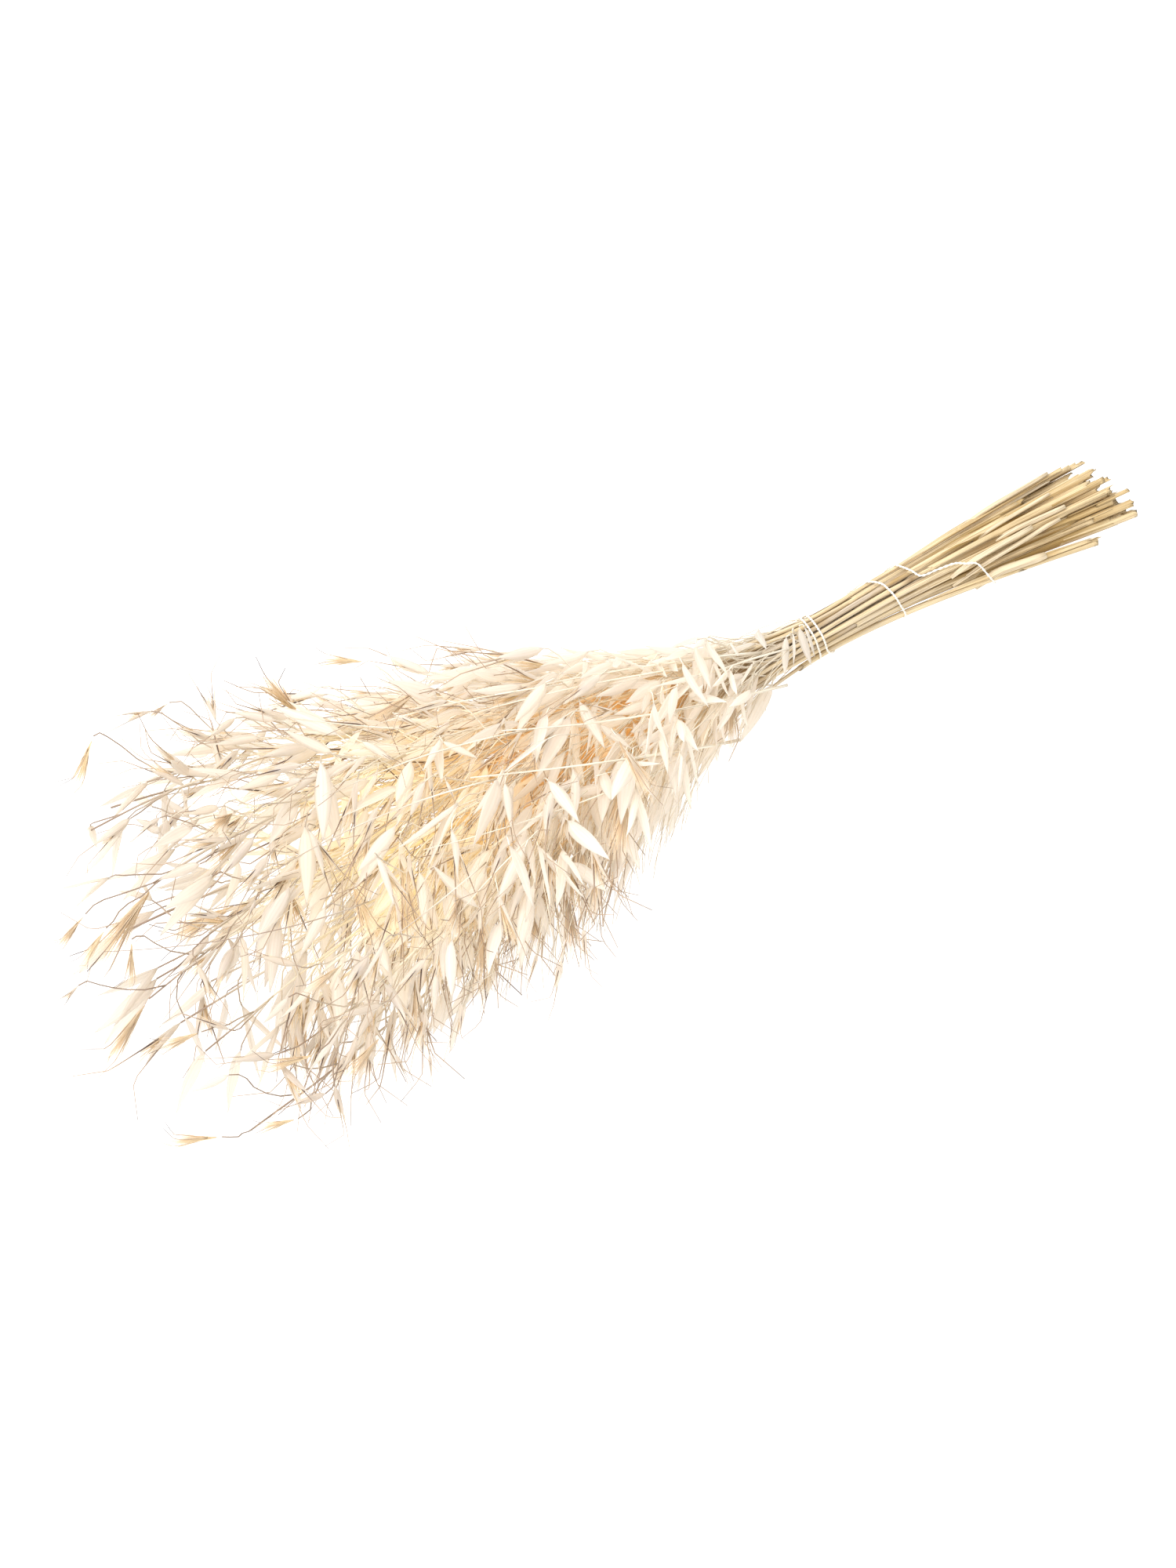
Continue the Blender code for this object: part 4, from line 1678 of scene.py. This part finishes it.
def addStrip(bm, draw, line, outs, radii, cover, tint, head):
    # A ribbed papery strip that follows a line, curved round it.
    rows = len(line) - 1
    part = newMesh()
    bmesh.ops.create_grid(part, x_segments=strip["columns"], y_segments=rows, size=1.0)
    grain = part.loops.layers.uv["grain"]
    shift = draw.uniform(0, 5)
    length = sum((b - a).length for a, b in zip(line, line[1:]))
    for face in part.faces:
        face.smooth = True
        face.material_index = strawSlot
        for loop in face.loops:
            x, y = loop.vert.co.xy
            wide = cover * radii[rows // 2]
            loop[grain].uv = (x * wide + shift, (y + 1) / 2 * length + shift)
    for vert in part.verts:
        across, n = vert.co.x, round((vert.co.y + 1) / 2 * rows)
        ahead = (line[min(n + 1, rows)] - line[max(n - 1, 0)]).normalized()
        aside = ahead.cross(outs[n]).normalized()
        angle = cover * across
        spot = line[n] + (outs[n] * math.cos(angle) + aside * math.sin(angle)) * radii[n]
        if n == 0:
            spot += ahead * draw.uniform(0, strip["ragged"])
        elif n == rows:
            spot -= ahead * draw.uniform(0, strip["ragged"])
        spot.z = max(spot.z, bundle["tableGap"] + strip["thickness"])
        vert.co = spot
    paint(part, part.verts, tint=tint, depth=depthInside, head=head)
    bmesh.ops.solidify(part, geom=part.faces[:], thickness=strip["thickness"])
    bmesh.ops.recalc_face_normals(part, faces=part.faces)
    pour(bm, asMesh(part, "part"))


def addSheath(bm, i, draw, kind):
    # The lower leaf that wraps its stem, looser towards the cut end.
    cut = ends[i][0] + draw.uniform(*kind["starts"])
    first = cut
    if draw.random() >= kind["shareAtCut"]:
        first = draw.uniform(cut, kind["lastStart"])
    last = min(kind["last"], first + draw.uniform(*kind["lengths"]))
    loose = draw.uniform(*kind["loose"])
    spin, turn = draw.uniform(0, math.tau), draw.uniform(*kind["turns"])
    line, outs, around = [], [], []
    for n in range(strip["rows"] + 1):
        run = mixed(first, last, n / strip["rows"])
        line.append(smoothPlace(i, run))
        angle = spin + turn * (run - first)
        outs.append(Vector((0.0, math.cos(angle), math.sin(angle))))
        flare = min(1.0, max(0.0, (kind["flareRun"] - run) / 0.06)) * kind["flare"]
        radius = float(np.interp(run, runs, radii[i]))
        around.append(radius * (1 + flare * 0.5) + loose * (1 + flare))
    addStrip(bm, draw, line, outs, around, kind["cover"], draw.random(), 0.0)


def addBlade(bm, i, draw):
    # A dry leaf blade, flat between the stems.
    kind = strip["blade"]
    first = ends[i][0] + draw.uniform(0, 0.6) * kind["startSpan"]
    last = min(kind["last"], first + draw.uniform(*kind["lengths"]))
    half = draw.uniform(*kind["halfWidths"])
    bow = half / math.sin(kind["cover"])
    away = draw.uniform(*kind["asides"]) * draw.choice((-1, 1))
    spin, turn = draw.uniform(0, math.tau), draw.uniform(*kind["turns"])
    line, outs, around = [], [], []
    for n in range(strip["rows"] + 1):
        share = n / strip["rows"]
        run = mixed(first, last, share)
        spot = smoothPlace(i, run)
        inward = middleOfBundle(run) - spot
        inward.x = 0.0
        reach = inward.length
        inward.normalize()
        aside = inward.cross(Vector((1.0, 0.0, 0.0)))
        radius = float(np.interp(run, runs, radii[i]))
        tight = min(1.0, max(kind["tightest"], abs(run) / kind["freeFrom"]))
        spot += aside * away * tight + inward * min(reach, radius * kind["inward"])
        angle = spin + turn * (run - first)
        out = Vector((0.0, math.cos(angle), math.sin(angle)))
        wide = mixed(0.25, 1.0, math.sin(math.pi * min(1.0, share * 0.9 + 0.1)) ** 0.6)
        line.append(spot - out * bow * wide * tight)
        outs.append(out)
        around.append(bow * wide * tight)
    tint, head = draw.random(), max(0.0, draw.uniform(*kind["heads"]))
    addStrip(bm, draw, line, outs, around, kind["cover"], tint, head)


def onStems(x, y, radius):
    # The middle of something of that radius, laid on the stems.
    def heightAt(spot):
        run = -spot.x
        tops = [middleOfBundle(run).z]
        for i, (cut, _) in enumerate(ends):
            near = stemPoint(i, run)
            thick = float(np.interp(run, runs, radii[i]))
            if run > cut and abs(near.y - spot.y) < thick + radius:
                tops.append(near.z + thick + radius)
        return max(tops)

    return whereSeen(x, y, 40 * mm, heightAt)


def stubPath(place):
    # A short pale straw on top of the others, by its two ends' pixels.
    _, fromX, fromY, toX, toY, radius = place
    last = stub["points"] - 1
    spots = []
    for n in range(last + 1):
        x, y = mixed(fromX, toX, n / last), mixed(fromY, toY, n / last)
        spots.append(onStems(x, y, radius))
    heights = [spot.z for spot in spots]
    for n, dive in enumerate(stub["dives"]):
        heights[n] -= radius * dive
    path = []
    for n, spot in enumerate(spots):
        level = mixed(heights[0], heights[-1], n / last)
        spot.z = max(level, heights[n] - stub["sink"]) if n > 2 else heights[n]
        path.append((spot, radius * (stub["ends"] if n in (0, last) else 1.0)))
    return path


def shownStrandPath(place):
    # A strand over the heads on a curve between pixels.
    fromX, fromY, midX, midY, toX, toY, radius = place
    last = shownStrand["points"] - 1
    path = []
    for n in range(last + 1):
        t = n / last
        x = fromX * (1 - t) ** 2 + midX * 2 * t * (1 - t) + toX * t**2
        y = fromY * (1 - t) ** 2 + midY * 2 * t * (1 - t) + toY * t**2
        spot = onHeads(x, y, shownStrand["lift"] * math.sin(math.pi * min(0.5, t * 4)))
        path.append((spot, radius * mixed(1.0, shownStrand["thinTo"], t)))
    return path


def strandPath(i, draw):
    # A long pale strand that wanders along over the heads.
    tip = ends[i][1]
    for _ in range(strand["tries"]):
        last = tip * strand["lastShare"]
        run = mixed(strand["firstRun"], last, draw.random() ** 0.8)
        spot = smoothPlace(i, run)
        heading = leavingDirection(i, spot, run, draw, strand)
        step = draw.uniform(*strand["lengths"]) / (strand["points"] - 1)
        points = []
        for n in range(strand["points"]):
            share = n / (strand["points"] - 1)
            radius = strand["radius"] * mixed(1.0, strand["thinTo"], share)
            spot.z = max(spot.z, radius + bundle["tableGap"])
            points.append((spot.copy(), radius))
            stray = unitNoise(draw) * strand["stray"]
            heading = (heading + stray + hangAt(spot) * strand["sag"]).normalized()
            spot = spot + heading * step
        inside = all(pointInReach(point) for point, _ in points[2:])
        if inside and fits(np.array([tuple(point) for point, _ in points])):
            return points
    return None


lowCorner = cadBox[0] + bundle["middle"]
highCorner = cadBox[1] + bundle["middle"]


def keepsOutline(points):
    stops, lows, highs = (np.array(row) for row in zip(*bundle["outline"]))
    off = points - np.array(bundle["neck"])
    along, aside = off @ bundle["seenAlong"], off @ bundle["seenAside"]
    over = np.interp(along, room["overRuns"], room["over"])
    outside = aside < np.interp(along, stops, lows) - over
    outside |= aside > np.interp(along, stops, highs) + over
    return outside.mean() < room["shareOver"]


def fits(points):
    low, high = points.min(axis=0), points.max(axis=0)
    inside = all(low[a] > lowCorner[a] - room["side"] for a in (0, 1))
    inside = inside and all(high[a] < highCorner[a] + room["side"] for a in (0, 1))
    inside = inside and low[2] > bundle["tableGap"] / 2
    return inside and high[2] < highCorner[2] + room["top"]


def placeSpikelet(path, draw, wanted=None, side=None):
    # The kind and place of a spikelet that keeps within the bundle's box.
    base, tip = path[-3][0], path[-1][0]
    axis = (tip - base).normalized()
    length = (tip - base).length
    toEye = cameraAxes()[0]
    flat = (toEye - axis * toEye.dot(axis)).normalized()
    stand = Matrix((flat, axis.cross(flat), axis)).transposed().to_4x4()
    choice = kindNumbers[wanted] if wanted else range(len(spikelets))
    if not wanted and -base.x < room["bareRun"]:
        choice = [*kindNumbers["empty"], *kindNumbers["single"]]
        length *= room["bareSize"]
    stray = room["shownStray"] if side else math.pi
    turned = math.pi / 2 if side == "side" else 0.0
    for tries in range(room["rolls"]):
        kind = draw.choice(choice)
        shrink = mixed(1.0, room["smallest"], tries / room["rolls"])
        roll = Matrix.Rotation(turned + draw.uniform(-stray, stray), 4, "Z")
        size = Matrix.Scale(length * shrink, 4)
        place = Matrix.Translation(base) @ stand @ roll @ size
        points = spikeletPoints[kind] @ np.array(place.to_3x3()).T + np.array(base)
        if fits(points) and (wanted or keepsOutline(points)):
            return kind, place
    return None


stubPaths = [stubPath(place) for place in stub["places"]]


def headShare(point):
    # 0 along the stems and 1 in the heads
    return min(1.0, max(0.0, (-point.x - 0.01) / 0.08))


def makeStalk(i):
    draw = random.Random(6600 + i)
    bm = stemTube(i, draw)
    tint = draw.random()
    paint(bm, bm.verts, tint=tint, depth=depthInside, head=headShare)
    addSheath(bm, i, draw, strip["sheath"])
    for _ in range(strip["lip"]["perStalk"]):
        addSheath(bm, i, draw, strip["lip"])
    for _ in range(strip["blade"]["perStalk"]):
        addBlade(bm, i, draw)
    chosen = []
    for p in [tips[i], *branches[i], *fineBranches[i]]:
        found = p and placeSpikelet(p, draw)
        if found:
            chosen.append((p, *found))
    for p, kind, side in shownSpikelets[i]:
        found = placeSpikelet(p, draw, kind, side)
        if found:
            chosen.append((p, *found))
    twigs = [twigPath(i, p, draw) for p, _, _ in chosen if len(p) == 4]
    strands = [strandPath(i, draw) for _ in range(strand["perStalk"])]
    stubs = [path for s, path in zip(stub["places"], stubPaths) if s[0] == i]
    over = [shownStrandPath(p) for p in shownStrand["places"][i :: bundle["stalks"]]]
    for paths, sides, shade, depthShare, head in (
        (twigs, 0, tint * 0.7, 1.0, 1.0),
        ([path for path in strands if path], 0, 0.1, strand["depthShare"], 0.82),
        (over, 1, 0.1, 0.0, 1.0),
        (stubs, 2, 0.0, 0.0, 0.35),
    ):
        if not paths:
            continue
        count = len(bm.verts)
        pour(bm, tubeMesh(paths, strawSlot, sides, None, i * 0.37))
        bm.verts.ensure_lookup_table()
        new = bm.verts[count:]
        paint(bm, new, tint=shade, head=head)
        paint(bm, new, depth=lambda point: depthInside(point) * depthShare)
    for p, kind, place in chosen:
        count, faceCount = len(bm.verts), len(bm.faces)
        bm.from_mesh(spikelets[kind])
        bm.verts.ensure_lookup_table()
        bm.faces.ensure_lookup_table()
        new = bm.verts[count:]
        bmesh.ops.transform(bm, matrix=place, verts=new)
        depth = depthInside(p[-2][0])
        paint(bm, new, tint=draw.random(), depth=depth)
        if depth < husk["thinDepth"]:
            for face in bm.faces[faceCount:]:
                if face.material_index == huskSlot:
                    face.material_index = thinHuskSlot
    bmesh.ops.translate(bm, vec=-bundle["middle"], verts=bm.verts)
    name = f"oatStalk{i + 1:02d}"
    mesh = asMesh(bm, name)
    piece = newObject(name, mesh)
    for finish in finishes:
        mesh.materials.append(finish)
    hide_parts(f"oat_stalk_{i + 1:02d}")
    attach(piece, "root")
    return len(chosen), len(mesh.polygons)


made = [makeStalk(i) for i in range(bundle["stalks"])]
print("spikelets placed:", sum(m[0] for m in made), "faces:", sum(m[1] for m in made))


# The thread.
thread = {
    # (turn, run): whole turns are at the +Y side, and it goes over the top
    "winding": (
        (0.05, 0.0020),
        (0.50, 0.0005),
        (1.05, -0.0015),
        (1.50, -0.0040),
        (2.05, -0.0330),
        (2.22, -0.0440),
        (2.50, -0.0495),
        (3.05, -0.0530),
        (3.31, -0.0640),
        (3.33, -0.0820),
        (3.38, -0.0930),
        (3.54, -0.1010),
        (3.95, -0.1040),
    ),
    "stepsPerTurn": 12,
    "step": 10 * mm,
    "plies": 2,
    "plyRadius": 0.32 * mm,
    "twistsPerTurn": 18,
    "finePoints": 6,
    "stubSpan": 5 * mm,
}


def threadLine():
    winding = thread["winding"]
    stops = [winding[0]]
    for (turn, run), (nextTurn, nextRun) in zip(winding, winding[1:]):
        turning = (nextTurn - turn) * thread["stepsPerTurn"]
        steps = math.ceil(max(turning, abs(nextRun - run) / thread["step"]))
        for step in range(1, steps + 1):
            share = step / steps
            stops.append((mixed(turn, nextTurn, share), mixed(run, nextRun, share)))
    line = []
    for turn, run in stops:
        angle = math.tau * turn
        outward = Vector((0.0, math.cos(angle), math.sin(angle)))
        middle = middleOfBundle(run)
        reach = 0.0
        for i in range(bundle["stalks"]):
            radius = float(np.interp(run, runs, radii[i]))
            reach = max(reach, (stemPoint(i, run) - middle).dot(outward) + radius)
        for path in stubPaths:
            for spot, radius in path:
                if abs(spot.x + run) < thread["stubSpan"]:
                    reach = max(reach, (spot - middle).dot(outward) + radius)
        reach += thread["plyRadius"] * 2
        line.append((middle + outward * reach, outward))
    return line


def makeThread():
    line = threadLine()
    paths = [[] for _ in range(thread["plies"])]
    count = (len(line) - 1) * thread["finePoints"]
    for n in range(count + 1):
        k = min(n // thread["finePoints"], len(line) - 2)
        share = n / thread["finePoints"] - k
        (a, outA), (b, outB) = line[k], line[k + 1]
        before = line[max(k - 1, 0)][0]
        after = line[min(k + 2, len(line) - 1)][0]
        spot = curveBetween(a, b, (b - before) * 0.5, (after - a) * 0.5, share)
        out = outA.lerp(outB, share).normalized()
        ahead = (b - a).normalized()
        aside = out.cross(ahead).normalized()
        angle = math.tau * thread["twistsPerTurn"] * n / (
            thread["stepsPerTurn"] * thread["finePoints"]
        )
        for ply, path in enumerate(paths):
            turned = angle + math.tau * ply / thread["plies"]
            offset = out * math.cos(turned) + aside * math.sin(turned)
            path.append((spot + offset * thread["plyRadius"], thread["plyRadius"]))
    mesh = tubeMesh(paths, 0, 1)
    piece = newObject("bindingThreadStrands", mesh)
    mesh.transform(Matrix.Translation(-bundle["middle"]))
    mesh.materials.append(cottonMaterial)
    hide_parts("binding_thread")
    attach(piece, "root")


makeThread()
print("thread wound")


# Floor, light and camera.
def makeFloor():
    bm = bmesh.new()
    bmesh.ops.create_grid(bm, x_segments=1, y_segments=1, size=studio["floorSize"])
    mesh = asMesh(bm, "floor")
    floor = newObject("floor", mesh)
    f = Finish("floorWhite")
    f.set(
        Base_Color=(*studio["floorColour"], 1.0),
        Roughness=0.9,
        Emission_Color=(1.0, 1.0, 1.0, 1.0),
        Emission_Strength=studio["floorGlow"],
    )
    mesh.materials.append(f.material)


def makeLight():
    world = bpy.data.worlds.new("sky")
    bpy.context.scene.world = world
    world.use_nodes = True
    background = world.node_tree.nodes["Background"]
    background.inputs["Color"].default_value = (1.0, 1.0, 1.0, 1.0)
    background.inputs["Strength"].default_value = studio["skyStrength"]
    light = bpy.data.lights.new("softbox", "AREA")
    light.size = studio["lampSize"]
    light.energy = studio["lampPower"]
    lamp = newObject("softbox", light)
    lamp.location = studio["lampPlace"]
    lamp.rotation_euler = (-studio["lampPlace"]).to_track_quat("-Z", "Y").to_euler()


def makeCamera():
    data = bpy.data.cameras.new("camera")
    data.sensor_width = studio["sensorWidth"]
    imageHeight = studio["metresPerPixel"] * studio["imageSize"][1]
    data.lens = studio["distance"] / imageHeight * data.sensor_width
    camera = newObject("camera", data)
    camera.location = cameraPlace() - bundle["middle"]
    camera.rotation_euler = (-cameraAxes()[0]).to_track_quat("-Z", "Y").to_euler()
    bpy.context.scene.camera = camera


makeFloor()
makeLight()
makeCamera()
bpy.context.scene.view_settings.view_transform = "Standard"
print("studio set")
